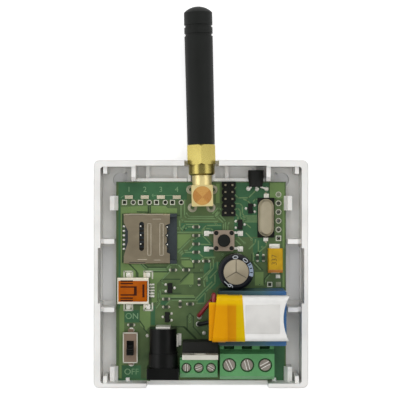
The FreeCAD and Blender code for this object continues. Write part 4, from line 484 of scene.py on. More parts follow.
    # Bright green terminal plastic, satin
    TERMINAL = Finish("green_polyamide", "5C9A62", "528E58", 0.5, grain_mm=0.3, subsurface=0.05)
    # Steel screws with a grey zinc coat
    ZINC = Finish("zinc_plated_steel", "B8B0A4", "A49C90", 0.4, metallic=0.9, grain_mm=0.25)
    # Painted highlight: the glint of the walls beside a screw's slot
    SLOT_GLINT = Finish("painted_slot_glint", "F0EEE6", "E0DED4", 0.4, metallic=0.4)
    # Soft aluminium, dull from its drawing, one side of its domed top painted darker as shade
    CAN = PaintedWedges(
        "drawn_aluminium", "BFB49C", "B4A992", 0.5, metallic=0.7, grain_mm=0.25, middle_mm=(9.9, 0.8),
        wedge_shade="9C927C", folds=1, phase=-0.5, softness=0.9,
    )
    # Painted shade along the score pressed into it, where the metal turns away from the light
    SCORE_SHADE = Finish("pressed_score_shade", "6E6858", "7A7462", 0.5, metallic=0.5)
    # Black heat-shrunk film, glossy with slight waves
    SLEEVE = Finish("black_shrink_sleeve", "0C0E12", "12141A", 0.32, coat=0.05, specular=0.25)
    # Pale grey print on the sleeve, matt
    SLEEVE_PRINT = Finish("sleeve_print", "B4B9BE", "A0A5AA", 0.6, grain_mm=0.3)
    # Its polarity stripe: bluer and darker
    SLEEVE_STRIPE = Finish("sleeve_stripe", "7F8FA3", "8C99AA", 0.5, grain_mm=0.3)
    # Ochre epoxy, satin, with a worn-looking mottling
    OCHRE = Finish("ochre_epoxy", "C89E1C", "B89016", 0.45, grain_mm=0.25, cloud_mm=2.0, specular=0.25)
    # The brown end band, matt
    OCHRE_BAND = Finish("brown_polarity_band", "A86A18", "9C6014", 0.5, grain_mm=0.25)
    # Burnt-in digits, darker than the epoxy
    OCHRE_PRINT = Finish("laser_marked_epoxy", "6A5210", "745C16", 0.6, grain_mm=0.2)
    # Satin nickel pressed into a lozenge
    CRYSTAL = Finish("nickelled_crystal_can", "C8BEA4", "B8AE94", 0.42, metallic=0.8, grain_mm=0.4)
    # Satin relay plastic: blue at its right end, nearly black in the shade at its left
    RELAY = Graded(
        "relay_case_blue_pbt", "2C4A5E", "284254", 0.42, grain_mm=0.3, specular=0.35,
        stops=((4.9, "16221E"), (11.0, "2A403C"), (17.0, "3E6266"), (20.0, "38648A"), (24.0, "3466A0")),
    )
    # Foil pouch, soft white with shallow creases
    POUCH = Finish(
        "laminated_foil_pouch", "EAE9E6", "E2E1DE", 0.4, cloud_mm=4.0, grain_mm=1.6, grain_depth_mm=0.04
    )
    # The flat top of the stack inside, painted a little greyer as shade
    POUCH_FLAT_SHADE = Finish(
        "foil_pouch_painted_shade", "DAD8D4", "D2D0CC", 0.4, cloud_mm=4.0, grain_mm=1.6, grain_depth_mm=0.04
    )
    # Glossy amber tape, deep where it lies double and yellow at its single edge, with a painted highlight
    # along its upper edge
    TAPE = Graded(
        "amber_polyimide_tape", "D89C00", "CC9000", 0.32, specular=0.1, cloud_mm=2.5, grain_mm=1.5,
        grain_depth_mm=0.03, upper="E0B400", upper_mm=(-8.4, -7.4),
        stops=(
            (4.0, "DE9800"), (7.2, "D89200"), (7.5, "BC7600"),
            (9.6, "C88400"), (9.9, "CCAE00"), (12.0, "D0BA00"),
        ),
    )
    # Soft red wire with a light sheen
    RED = Finish("red_pvc_insulation", "7C1F26", "8A2830", 0.35, coat=0.2)
    # Soft black wire
    BLACK = Finish("black_pvc_insulation", "181918", "202120", 0.4, specular=0.35)
    # A shielding can's plain grey metal
    SHIELD = Finish("tinned_shielding_can", "C8C4BC", "B5B1A8", 0.38, metallic=1.0)
    # Fired chip bodies, near black on top
    CERAMIC = Finish("fired_chip_ceramic", "24301F", "2C3A28", 0.5, cloud_mm=1.0)

# Mesh helpers, in millimetres


def move(x: float, y: float, z: float) -> Matrix:
    """A shift in millimetres."""
    return Matrix.Translation((x, y, z))


def slab(mesh: Mesh, low: Spot, high: Spot, bevel: float = 0.0, turn: float = 0.0) -> None:
    """Adds a block with rounded edges.

    Args:
        mesh: the mesh that gets it.
        low: its lowest corner.
        high: its highest corner.
        bevel: how much its edges are rounded.
        turn: an angle in radians about its own upright axis.
    """
    middle = (Vector(low) + Vector(high)) / 2
    size = Vector(high) - Vector(low)
    place = Matrix.Translation(middle) @ Matrix.Rotation(turn, 4, "Z") @ Matrix.Diagonal((*size, 1.0))
    corners = bmesh.ops.create_cube(mesh, size=1.0, matrix=place)["verts"]
    if bevel:
        edges = list({edge for corner in corners for edge in corner.link_edges})
        bmesh.ops.bevel(mesh, geom=edges, offset=bevel, segments=2, affect="EDGES", profile=0.5, material=-1)


def pad(mesh: Mesh, at: Point, half: Point, low: float, rise: float, bevel: float) -> None:
    """Adds a block round a point.

    Args:
        mesh: the mesh that gets it.
        at: its middle.
        half: half of its width and of its length.
        low: its underside.
        rise: its height.
        bevel: how much its edges are rounded.
    """
    (x, y), (wide, long) = at, half
    slab(mesh, (x - wide, y - long, low), (x + wide, y + long, low + rise), bevel)


def rectangle(first: Point, last: Point) -> Line:
    """The corners of a rectangle from two opposite ones."""
    return first, (last[0], first[1]), last, (first[0], last[1])


def closed(first: Point, last: Point) -> Line:
    """The corners of a rectangle from two opposite ones, with the first again at the end."""
    return *rectangle(first, last), first


def spun(mesh: Mesh, profile: Line, centre: Spot, steps: int = 20) -> None:
    """Adds a profile turned about an upright axis.

    Args:
        mesh: the mesh that gets it.
        profile: points as distance from the axis and height, in order.
        centre: a point on the axis.
        steps: how many steps make the full turn.
    """
    axis = Vector(centre)
    points = [mesh.verts.new(axis + Vector((away, 0.0, up))) for away, up in profile]
    edges = [mesh.edges.new(pair) for pair in zip(points, points[1:])]
    upright = (0.0, 0.0, 1.0)
    bmesh.ops.spin(
        mesh, geom=points + edges, cent=axis, axis=upright, angle=math.tau, steps=steps, use_merge=True
    )


def disc(mesh: Mesh, at: Point, radius: float, low: float, rise: float, steps: int) -> None:
    """Adds a flat disc.

    Args:
        mesh: the mesh that gets it.
        at: its middle.
        radius: its radius.
        low: its underside.
        rise: its height.
        steps: how many sides it has.
    """
    spun(mesh, ((0.0, rise), (radius, rise), (radius, 0.0), (0.0, 0.0)), (*at, low), steps)


def plate(mesh: Mesh, outline: Line, low: float, high: float) -> None:
    """Adds a flat plate.

    Args:
        mesh: the mesh that gets it.
        outline: its corners.
        low: its underside.
        high: its top.
    """
    face = mesh.faces.new([mesh.verts.new((x, y, low)) for x, y in outline])
    raised = bmesh.ops.extrude_face_region(mesh, geom=[face], use_keep_orig=True)["geom"]
    corners = [part for part in raised if isinstance(part, bmesh.types.BMVert)]
    bmesh.ops.translate(mesh, vec=(0.0, 0.0, high - low), verts=corners)


def run(mesh: Mesh, points: Line, width: float, low: float, high: float) -> None:
    """Adds a flat line of straight stretches.

    Args:
        mesh: the mesh that gets it.
        points: the line's corners.
        width: its width.
        low: its underside.
        high: its top.
    """
    for start, end in zip(points, points[1:]):
        along = Vector(end) - Vector(start)
        middle = (Vector(end) + Vector(start)) / 2
        half = Vector((along.length / 2 + width * CORNER_OVERLAP, width / 2))
        slab(mesh, (*(middle - half), low), (*(middle + half), high), turn=math.atan2(along.y, along.x))


def turned(centre: Spot, radius: float, degrees: float) -> Point:
    """The point at this distance and angle from a centre."""
    turn = math.radians(degrees)
    return centre[0] + radius * math.cos(turn), centre[1] + radius * math.sin(turn)


def finished(mesh: Mesh, name: str, finish: Look, body: str = FIXED) -> None:
    """Turns a mesh in millimetres into a piece of the module.

    Args:
        mesh: the mesh, which is used up.
        name: the piece's name.
        finish: its finish.
        body: the body that it moves with.
    """
    bmesh.ops.remove_doubles(mesh, verts=mesh.verts, dist=WELD_MM)
    bmesh.ops.recalc_face_normals(mesh, faces=mesh.faces)
    bmesh.ops.scale(mesh, vec=(MM, MM, MM), verts=mesh.verts)
    data = bpy.data.meshes.new(name)
    mesh.to_mesh(data)
    mesh.free()
    data.shade_smooth()
    data.set_sharp_from_angle(angle=math.radians(SMOOTH_ANGLE))
    data.materials.append(finish.value.material())
    piece = bpy.data.objects.new(name, data)
    bpy.context.scene.collection.objects.link(piece)
    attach(piece, body)
    LOG.info("%s: %d faces on %s", name, len(data.polygons), body)


def box_mm(node: str) -> Box:
    """The lowest and highest corner of a CAD node, in millimetres."""
    low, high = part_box(node)
    return low / MM, high / MM


def board_face() -> float:
    """The height of the circuit board's upper face, in millimetres."""
    return box_mm("circuit_board")[1].z


def solids_mm(node: str) -> list[Box]:
    """Finds the separate solids of a CAD node.

    Args:
        node: its name.

    Returns:
        The lowest and highest corner of each, in millimetres, from left to right.
    """
    mesh = bmesh.new()
    mesh.from_mesh(frame["nodes"][node].data)
    bmesh.ops.remove_doubles(mesh, verts=mesh.verts, dist=WELD_METRES)
    waiting = set(mesh.verts)
    found = []
    while waiting:
        edge = [waiting.pop()]
        solid = []
        while edge:
            vertex = edge.pop()
            solid.append(vertex.co / MM)
            near = {link.other_vert(vertex) for link in vertex.link_edges} & waiting
            waiting -= near
            edge.extend(near)
        found.append(tuple(Vector(pick(p[i] for p in solid) for i in range(3)) for pick in (min, max)))
    mesh.free()
    return sorted(found, key=lambda box: (round(box[0].x, 2), round(box[0].y, 2)))


def lettering(
    text: str, name: str, height: float, place: Matrix, finish: Look, thick: float = 0.012
) -> None:
    """Adds a plain number or word.

    Args:
        text: what it says.
        name: the piece's name.
        height: of its capitals, in millimetres.
        place: where the middle of the word goes, in millimetres.
        finish: of the ink.
        thick: half of the ink's thickness, in millimetres.
    """
    curve = bpy.data.curves.new(name, "FONT")
    curve.body = text
    curve.size = height * FONT_SIZE
    curve.align_x = "CENTER"
    curve.align_y = "CENTER"
    curve.extrude = thick
    source = bpy.data.objects.new(name, curve)
    flat = bpy.data.meshes.new_from_object(source)
    mesh = bmesh.new()
    mesh.from_mesh(flat)
    bmesh.ops.transform(mesh, matrix=place, verts=mesh.verts)
    bpy.data.objects.remove(source)
    bpy.data.meshes.remove(flat)
    finished(mesh, name, finish)


# Sub-assemblies


class SubAssembly:
    """CAD nodes that belong together, the finish of each, and the pieces added to them."""

    finishes: dict[str, Look] = {}

    def dress(self) -> None:
        """Gives each CAD node its finish."""
        for node, finish in self.finishes.items():
            for slot in frame["nodes"][node].material_slots:
                slot.material = finish.value.material()

    def build(self) -> None:
        """Adds the pieces that the CAD model leaves out. The plain case adds none."""

    def make(self) -> None:
        """Dresses the nodes and builds the added pieces."""
        self.dress()
        self.build()
        LOG.info("%s: %d nodes dressed", type(self).__name__, len(self.finishes))


@dataclass
class Tray(SubAssembly):
    """The moulded wall tray."""

    finishes = {"base_tray": Look.ABS}


class Copper:
    """Where the board's copper, holes and solder lie, and its printed lines, in millimetres."""

    # Lacquer with no copper under it; two points are opposite corners of a rectangle
    fields = (
        ((-23.89, 26.14), (-2.62, 26.14), (-2.62, 24.87), (-4.07, 24.0), (-4.07, 21.16), (-23.89, 21.16)),
        ((-5.81, 14.43), (6.08, 11.97)),
        ((-2.47, 9.65), (0.42, 11.53), (3.61, 8.35), (3.61, 4.58), (0.57, 4.58), (-0.59, 5.51), (-4.94, 5.51),
         (-2.33, 8.35)),
        ((-5.23, 5.39), (-0.59, 5.39), (0.63, 4.4), (-0.44, 3.59), (-2.47, 3.59), (-3.2, 4.58),
         (-5.66, 4.58)),
        ((1.15, 2.98), (2.54, 2.98), (2.54, 1.16), (1.0, -0.35), (0.71, 1.39)),
        ((9.56, 26.14), (19.7, 26.14), (19.7, 21.39), (16.51, 21.1), (16.51, 10.38), (9.56, 10.38)),
        ((-1.17, -7.31), (1.15, -4.26), (2.45, -4.41), (1.58, -5.86), (1.29, -8.47), (-0.88, -8.76)),
        ((-22.18, -10.78), (-17.84, -14.41)), ((-22.91, -26.87), (-17.4, -30.61)),
        ((-14.5, -9.62), (-13.29, -15.13)), ((-23.89, 21.1), (-23.37, -10.49)),
        ((-23.89, -30.67), (-15.95, -32.12)),
        ((15.06, 10.09), (19.41, 10.09), (19.41, 8.64), (17.67, 6.32), (17.67, 3.13), (15.79, 3.13),
         (15.06, 4.87)),
        ((-11.75, -8.18), (-9.0, -8.12), (-10.44, -9.45), (-11.75, -9.22)),
        ((1.44, 0.23), (4.34, 3.13), (6.08, 3.13), (6.08, -2.67), (3.76, -4.99), (1.44, -3.83)),
        ((21.0, -21.22), (24.22, -31.65)),
    )
    # Broad copper under the lacquer
    pours = (
        ((-23.26, 19.07), (-15.49, 19.42), (-15.49, 17.1), (-23.26, 17.1)),
        ((-14.5, 19.36), (-10.3, 19.36), (-9.58, 18.72), (-6.97, 18.72), (-6.97, 17.1), (-14.5, 17.1)),
        ((-6.82, 11.16), (-2.97, 11.16), (-2.97, 10.32), (-6.16, 7.1), (-6.82, 7.1)),
        ((19.93, 26.03), (24.22, 26.03), (24.22, -4.12), (23.64, -4.12), (23.64, 21.59), (19.93, 21.59)),
        ((-23.26, 17.1), (-22.62, 17.1), (-22.62, 3.13), (-21.23, 2.69), (-18.97, 0.38), (-18.97, -1.6),
         (-23.26, -1.6)),
        ((-18.04, -1.6), (-18.04, -0.06), (-20.36, 2.46), (-17.69, 2.46), (-15.84, 0.11), (-9.58, 0.11),
         (-11.78, -2.09), (-12.82, -3.25), (-12.82, -8.47), (-14.21, -8.76), (-14.91, -1.6)),
        ((-5.66, 3.59), (-3.2, 3.59), (-2.39, 2.84), (-2.39, 1.56), (-4.65, 1.56), (-5.66, 2.55)),
        ((-5.81, -3.19), (-3.2, -0.2), (-2.18, -0.2), (-2.18, -3.39), (-6.68, -3.39)),
        ((-23.26, -8.76), (-22.27, -8.76), (-22.27, -26.67), (-23.08, -26.67), (-23.08, -30.55),
         (-23.66, -30.55), (-23.66, -10.49)),
        ((-17.69, -9.62), (-14.73, -9.62), (-14.73, -15.42), (-15.95, -16.73), (-17.69, -15.13)),
        ((-11.6, -6.44), (-2.04, -6.44), (-2.04, -7.31), (-9.0, -7.31), (-11.6, -7.31)),
        ((4.34, 25.74), (5.38, 20.23)), ((15.64, 0.23), (18.11, -3.68)),
    )
    # Grooves between copper areas
    gaps = (
        ((-15.26, 19.51), (-15.26, 17.45)), ((-14.73, 19.51), (-14.73, 17.45)),
        ((-18.56, 17.65), (-15.29, 17.56)), ((-21.08, 2.84), (-18.73, 0.52), (-18.5, -0.06), (-18.5, -1.8)),
        ((-17.34, 2.55), (-15.66, 0.29), (-9.29, 0.29)), ((-16.39, 2.38), (-15.46, 1.62), (-10.16, 1.62)),
        ((-9.29, 0.23), (-11.2, -1.86), (-11.66, -2.32), (-10.73, -3.54)), ((-10.88, -1.89), (-6.1, -1.89)),
        ((-5.95, -2.52), (-3.34, 0.09)), ((-11.31, -5.97), (-5.81, -5.97)), ((-9.0, -7.51), (-1.6, -7.51)),
        ((-2.04, 3.13), (-2.04, 1.39), (-5.81, 1.39)), ((-8.71, -15.65), (-5.08, -15.65), (-1.6, -19.07)),
        ((-4.76, -15.65), (-1.31, -19.07)),
        ((-4.01, -16.58), (-4.01, -12.67), (-3.2, -11.83), (-2.21, -12.67), (-2.21, -15.71), (0.13, -18.32)),
        ((-2.21, 0.0), (0.57, 0.0)), ((14.71, 5.45), (14.71, 2.98), (16.37, 1.24)),
        ((15.64, 2.98), (17.82, 0.81)), ((18.31, -3.25), (18.31, -1.8), (19.7, -0.35)),
        ((-17.75, -13.97), (-16.53, -15.71), (-16.53, -16.29), (-15.52, -17.45)),
        ((-22.73, 17.04), (-22.73, 2.98)), ((19.76, 26.03), (19.76, 21.42), (21.73, 21.42)),
        ((-10.73, 16.64), (-6.1, 16.64)),
    )
    # Single tracks
    tracks = (
        ((-4.79, 21.1), (-4.79, 16.46), (-4.07, 15.71), (4.34, 15.71), (5.21, 16.46), (5.21, 19.07)),
        ((-4.21, 17.33), (-3.89, 16.64), (-3.2, 16.29), (3.9, 16.29), (4.92, 17.16)),
        ((-5.81, 19.36), (-5.81, 15.71), (-5.11, 14.9), (4.8, 14.9)),
        ((-5.29, 12.98), (-4.65, 14.0), (-0.73, 14.0)), ((-4.76, 12.4), (-4.01, 13.3), (-2.44, 13.36)),
        ((-6.24, 15.01), (-6.16, 13.27), (-5.08, 12.11), (-4.65, 12.58)), ((-6.82, 11.71), (-0.01, 11.71)),
        ((0.45, 12.58), (1.5, 13.71), (5.73, 13.74)),
        ((0.57, 12.23), (1.21, 12.84), (2.83, 12.84), (3.47, 12.29)),
        ((0.34, 12.52), (0.45, 10.84), (2.54, 8.64)), ((-0.01, 8.23), (2.89, 8.23)),
        ((-6.68, 5.97), (-3.05, 9.62), (-1.69, 9.68), (-1.05, 10.38)),
        ((-6.1, 5.62), (-5.17, 6.49), (-3.6, 6.49), (-2.33, 7.94)),
        ((-5.69, 5.22), (-4.94, 5.94), (-2.5, 5.94)), ((4.92, 16.06), (6.54, 14.43), (6.54, 12.4)),
        ((5.32, 16.93), (7.12, 14.9), (7.12, 12.4)), ((8.11, 14.55), (7.76, 13.85), (7.76, 12.4)),
        ((3.35, 17.16), (5.21, 19.13)), ((4.16, 16.93), (5.67, 18.55)),
        ((9.84, 20.06), (11.29, 20.06), (11.99, 19.36), (11.99, 17.16), (12.63, 16.46), (16.51, 16.46)),
        ((9.84, 18.32), (10.71, 18.67), (11.35, 17.91), (11.41, 16.17), (12.45, 14.78), (16.51, 14.78)),
        ((12.16, 16.29), (13.03, 15.88), (16.51, 15.88)), ((12.34, 15.59), (13.03, 15.3), (16.51, 15.3)),
        ((9.73, 17.33), (10.71, 16.35), (10.71, 15.59)),
        ((9.73, 22.84), (10.71, 21.74), (13.76, 21.77), (15.87, 23.88)),
        ((12.34, 21.33), (13.44, 20.93), (14.19, 20.11)), ((15.18, 20.75), (15.76, 21.33), (16.8, 21.27)),
        ((10.13, 24.87), (9.61, 24.17)), ((13.15, 14.14), (14.37, 13.1)),
        ((-17.87, 2.72), (-16.01, 0.69), (-9.69, 0.69), (-8.71, 1.85)),
        ((-16.94, 2.43), (-15.49, 1.16), (-10.04, 1.16), (-9.11, 2.26)),
        ((-8.76, 0.64), (-11.31, -1.97), (-11.49, -2.67), (-10.85, -3.25)),
        ((-10.44, -5.22), (-11.6, -4.81), (-12.36, -5.57), (-12.36, -7.6), (-11.72, -8.52), (-12.94, -10.2)),
        ((-11.78, -7.02), (-11.78, -5.45)), ((-5.81, 4.17), (-3.26, 4.17), (-2.44, 3.42)),
        ((-0.59, 5.62), (0.69, 4.46), (4.05, 4.52)), ((-0.18, 3.53), (0.69, 4.29)),
        ((1.61, 3.65), (2.42, 4.29)), ((2.77, 2.84), (2.77, 0.98), (0.51, -1.33), (-0.13, -1.39)),
        ((1.03, -3.94), (0.74, -2.32), (1.44, -1.22)), ((-1.17, -8.18), (2.13, -4.7)),
        ((-1.58, -7.6), (3.18, -2.67)), ((-8.71, 2.43), (-6.68, 2.38), (-5.58, 1.22)),
        ((-8.42, -7.94), (-1.46, -7.94)), ((-11.6, -7.13), (-1.75, -7.07)), ((1.32, -5.57), (1.09, -8.47)),
        ((16.63, 9.22), (16.63, 5.91), (15.53, 4.75)), ((18.95, 9.22), (18.89, 7.77), (15.64, 5.04)),
        ((13.9, 6.9), (15.64, 8.64), (15.82, 9.62)), ((15.18, 5.74), (15.18, 3.13), (17.27, 0.93)),
        ((18.71, -2.67), (18.71, -1.86), (19.87, -0.64)), ((10.83, 10.38), (12.45, 8.75)),
        ((10.13, 9.39), (11.47, 8.06)), ((13.03, 11.53), (14.77, 9.8)), ((-10.62, -9.8), (-8.94, -8.06)),
        ((-1.29, -8.87), (0.86, -8.87)), ((3.58, 3.82), (3.58, 1.39), (1.73, -0.76), (1.73, -2.09)),
        ((4.74, 3.13), (4.74, 0.81), (2.6, -1.51)), ((4.05, -0.64), (4.05, -2.96), (2.48, -4.52)),
        ((-21.75, -31.19), (-14.79, -31.19)),
    )
    # Small plated holes that carry a track to the other face
    vias = (
        (-3.23, -12.41), (-3.23, -13.28), (-3.23, -14.15), (-12.65, -8.58), (-3.08, -3.77), (-5.17, 13.16),
        (10.71, 15.42), (4.05, 14.61), (4.45, 13.97), (0.11, 0.81), (12.57, 8.64), (14.6, 9.62),
        (16.98, -3.42), (4.63, 16.35), (-6.68, 12.87), (3.58, 4.06), (1.73, -2.26), (6.25, 5.27),
        (17.73, 7.48), (9.96, 14.72),
    )
    # Square pads of soldered leads and wires: middle, width and length
    lands = (
        ((1.61, 11.42), 1.5, 1.5), ((1.61, 6.9), 1.5, 1.5), ((11.41, 11.42), 1.5, 1.5),
        ((11.41, 6.9), 1.5, 1.5), ((18.92, 22.2), 1.5, 1.5), ((18.77, 9.68), 1.4, 1.1),
    )
    # Rounded solder over leads and wires: middle, radius and height
    domes = (
        ((-0.42, -12.70), 0.8, 0.5), ((-0.76, -14.84), 0.75, 0.4), ((0.92, -17.45), 0.6, 0.35),
        ((16.19, 24.23), 0.62, 0.4), ((18.98, 24.29), 0.68, 0.45), ((13.73, 24.40), 0.7, 0.35),
        ((-6.42, -18.26), 0.75, 0.4), ((-15.55, -18.26), 0.5, 0.3), ((-20.18, -16.70), 0.9, 0.3),
        ((-20.18, -26.26), 0.9, 0.3),
    )
    # The antenna socket's feet, and the profile of the solder round each
    socket_feet = ((-2.97, 24.11), (3.47, 24.11), (-2.50, 18.90), (2.86, 18.90))
    socket_fillet = (
        (0.5, 0.0), (0.5, 0.45), (0.8, 0.16), (1.0, 0.08), (1.22, 0.1), (1.34, 0.04), (1.36, 0.0), (0.5, 0.0),
    )
    # Lines of the screen print
    marks = (
        ((-13.81, 22.03), (-14.27, 22.43), (-13.81, 22.84)),
        ((-13.92, 22.43), (-7.55, 22.43)),
        ((-23.20, 21.80), (-22.21, 22.43), (-21.17, 22.43)),
    )


@dataclass
class Board(SubAssembly):
    """The circuit board with its copper, its pads, its solder and its print, in millimetres."""

    corner: Vector = field(default_factory=lambda: box_mm("circuit_board")[1])
    # How far each layer stands up from the face
    field_height: float = 0.006
    pour_height: float = 0.010
    gap_height: float = 0.014
    print_height: float = 0.02
    track_height: float = 0.022
    pad_height: float = 0.035
    # Widths of lines
    track_width: float = 0.36
    gap_width: float = 0.34
    print_width: float = 0.14
    # Free holes: width of the pale rim, and half of the hole
    rim: float = 0.2
    hole: float = 0.47
    # Their row under the lamps: half of a round and of a square pad, where it lies, and its step
    row_ring: float = 0.75
    row_square: float = 0.72
    row_down: float = 6.0
    row_rings_x: float = -19.66
    row_squares_x: float = -22.2
    row_pitch: float = 4.64
    row_count: int = 4
    # Their column at the right: the same, from the board's upper right corner
    column_ring: float = 0.84
    column_square: float = 0.78
    column_in: Point = (2.15, 3.7)
    column_pitch: float = 2.54
    column_count: int = 6
    # The two square lands below the tantalum capacitor
    open_land: Point = (19.93, -3.36)
    filled_land: Point = (22.42, -3.36)
    # Vias: radius of the hole and of its rim
    via: Point = (0.14, 0.34)
    # Radius of the disc of painted shade in a via and in the open land
    via_shade: float = 0.15
    land_shade: float = 0.46
    # Small chips: length of a tinned end, how far it covers the chip, and the solder's width as a share of it
    end_length: float = 0.26
    end_cover: float = 0.02
    solder_share: float = 0.75
    solder_half_height: float = 0.09
    # Lamps: size of the cover, its shift down the board, and a point that they lie left of and above
    lamp_size: Point = (2.3, 1.05)
    lamp_shift: float = 0.12
    lamp_corner: Point = (-5.0, 21.0)
    # Transistors' legs: half of the pair's spacing, and the solder's radius and height
    leg_aside: float = 0.95
    leg_dome: Point = (0.42, 0.28)
    # Print: the first lamp number's X and its distance from the upper edge, the step, and the heights
    number_x: float = -20.9
    number_down: float = 2.3
    number_pitch: float = 4.62
    number_height: float = 1.55
    word_height: float = 1.75

    finishes = {"circuit_board": Look.MASK}

    # The slide switch's words and their places
    words = {"on": (-20.01, -12.64), "off": (-20.13, -28.76)}

    @property
    def face(self) -> float:
        """The height of the board's upper face."""
        return self.corner.z

    def build(self) -> None:
        """Adds copper, pads, solder and print."""
        self.areas("bare_fields", Copper.fields, self.field_height, Look.FIELD)
        self.areas("copper_pours", Copper.pours, self.pour_height, Look.POUR)
        self.lines("pour_gaps", Copper.gaps, self.gap_width, self.gap_height, Look.GAP)
        self.lines("tracks", Copper.tracks, self.track_width, self.track_height, Look.TRACK)
        self.hole_pads()
        self.small_holes()
        self.soldered_lands()
        self.chip_solder()
        self.print_marks()

    def areas(self, name: str, outlines: Iterable[Line], height: float, finish: Look) -> None:
        """Adds flat areas on the face as one piece.

        Args:
            name: the piece's name.
            outlines: the corners of each, or two opposite ones of a rectangle.
            height: how far they stand up.
            finish: their finish.
        """
        mesh = bmesh.new()
        for outline in outlines:
            corners = rectangle(*outline) if len(outline) == 2 else outline
            plate(mesh, corners, self.face, self.face + height)
        finished(mesh, name, finish)

    def lines(self, name: str, paths: Iterable[Line], width: float, height: float, finish: Look) -> None:
        """Adds flat lines on the face as one piece.

        Args:
            name: the piece's name.
            paths: the corners of each.
            width: their width.
            height: how far they stand up.
            finish: their finish.
        """
        mesh = bmesh.new()
        for path in paths:
            run(mesh, path, width, self.face, self.face + height)
        finished(mesh, name, finish)

    def hole_pads(self) -> None:
        """Adds the pads round the free holes, pale at the rim and dull inside, one of each group square."""
        column_x, column_top = self.corner.x - self.column_in[0], self.corner.y - self.column_in[1]
        column = [(column_x, column_top - self.column_pitch * number) for number in range(self.column_count)]
        row_y = self.corner.y - self.row_down
        steps = [self.row_pitch * number for number in range(self.row_count)]
        rings = [((self.row_rings_x + step, row_y), self.row_ring) for step in steps]
        rings += [(at, self.column_ring) for at in column[:-1]]
        squares = [((self.row_squares_x + step, row_y), self.row_square) for step in steps]
        squares += [(column[-1], self.column_square), (self.open_land, self.row_square)]
        rims, dull, dark = bmesh.new(), bmesh.new(), bmesh.new()
        for at, outer in rings:
            self.ring(rims, at, outer - self.rim, outer)
            self.ring(dull, at, self.hole, outer - self.rim)
        for at, half in squares:
            self.square_ring(rims, at, half - self.rim, half)
            self.square_ring(dull, at, self.hole, half - self.rim)
        self.dome(dull, column[0], radius=0.6, height=0.1)
        half = (self.row_square, self.row_square)
        pad(dull, self.filled_land, half, self.face, rise=0.08, bevel=0.03)
        # A disc of painted shade in the open land's hole
        disc(dark, self.open_land, self.land_shade, self.face, rise=0.03, steps=12)
        finished(rims, "free_hole_rims", Look.PAD)
        finished(dull, "free_hole_pads", Look.DULL_PAD)
        finished(dark, "open_hole_shade", Look.HOLE_SHADE)

    def ring(self, mesh: Mesh, at: Point, inner: float, outer: float) -> None:
        """Adds a flat ring with a slanted rim on the board's face.

        Args:
            mesh: the mesh that gets it.
            at: its middle.
            inner: its hole's radius.
            outer: its own radius.
        """
        high, slope = self.pad_height, 0.03
        profile = [(inner, 0.0), (inner, high), (outer - slope, high), (outer, 0.0), (inner, 0.0)]
        spun(mesh, profile, (*at, self.face))

    def square_ring(self, mesh: Mesh, at: Point, inner: float, half: float) -> None:
        """Adds a square pad with a square opening a little wider than its hole.

        Args:
            mesh: the mesh that gets it.
            at: its middle.
            inner: half of its opening.
            half: half of its side.
        """
        x, y = at
        low, high = self.face, self.face + self.pad_height
        slab(mesh, (x - half, y + inner, low), (x + half, y + half, high))
        slab(mesh, (x - half, y - half, low), (x + half, y - inner, high))
        slab(mesh, (x - half, y - inner, low), (x - inner, y + inner, high))
        slab(mesh, (x + inner, y - inner, low), (x + half, y + inner, high))

    def dome(self, mesh: Mesh, at: Point, radius: float, height: float) -> None:
        """Adds a blob of solder on the board's face.

        Args:
            mesh: the mesh that gets it.
            at: its middle.
            radius: of its foot.
            height: of its top.
        """
        steps = [math.radians(angle) for angle in (0, 25, 50, 72, 90)]
        profile = [(radius * math.cos(step), height * math.sin(step)) for step in steps]
        spun(mesh, [(0.0, 0.0), *profile], (*at, self.face), steps=14)

    def small_holes(self) -> None:
        """Adds the vias and a disc of painted shade in each of their holes."""
        rings, holes = bmesh.new(), bmesh.new()
        for at in Copper.vias:
            self.ring(rings, at, *self.via)
            disc(holes, at, self.via_shade, self.face, rise=0.02, steps=8)
        finished(rings, "vias", Look.TRACK)
        finished(holes, "via_hole_shades", Look.HOLE_SHADE)

    def soldered_lands(self) -> None:
        """Adds the solder of leads, wires and the antenna socket's feet."""
        mesh, feet = bmesh.new(), bmesh.new()
        for at, wide, long in Copper.lands:
            pad(mesh, at, (wide / 2, long / 2), self.face, rise=0.25, bevel=0.1)
        for at, radius, height in Copper.domes:
            self.dome(mesh, at, radius, height)
        for at in Copper.socket_feet:
            spun(feet, Copper.socket_fillet, (*at, self.face), steps=24)
        finished(mesh, "lead_solder", Look.SOLDER)
        finished(feet, "antenna_socket_solder", Look.DULL_SOLDER)

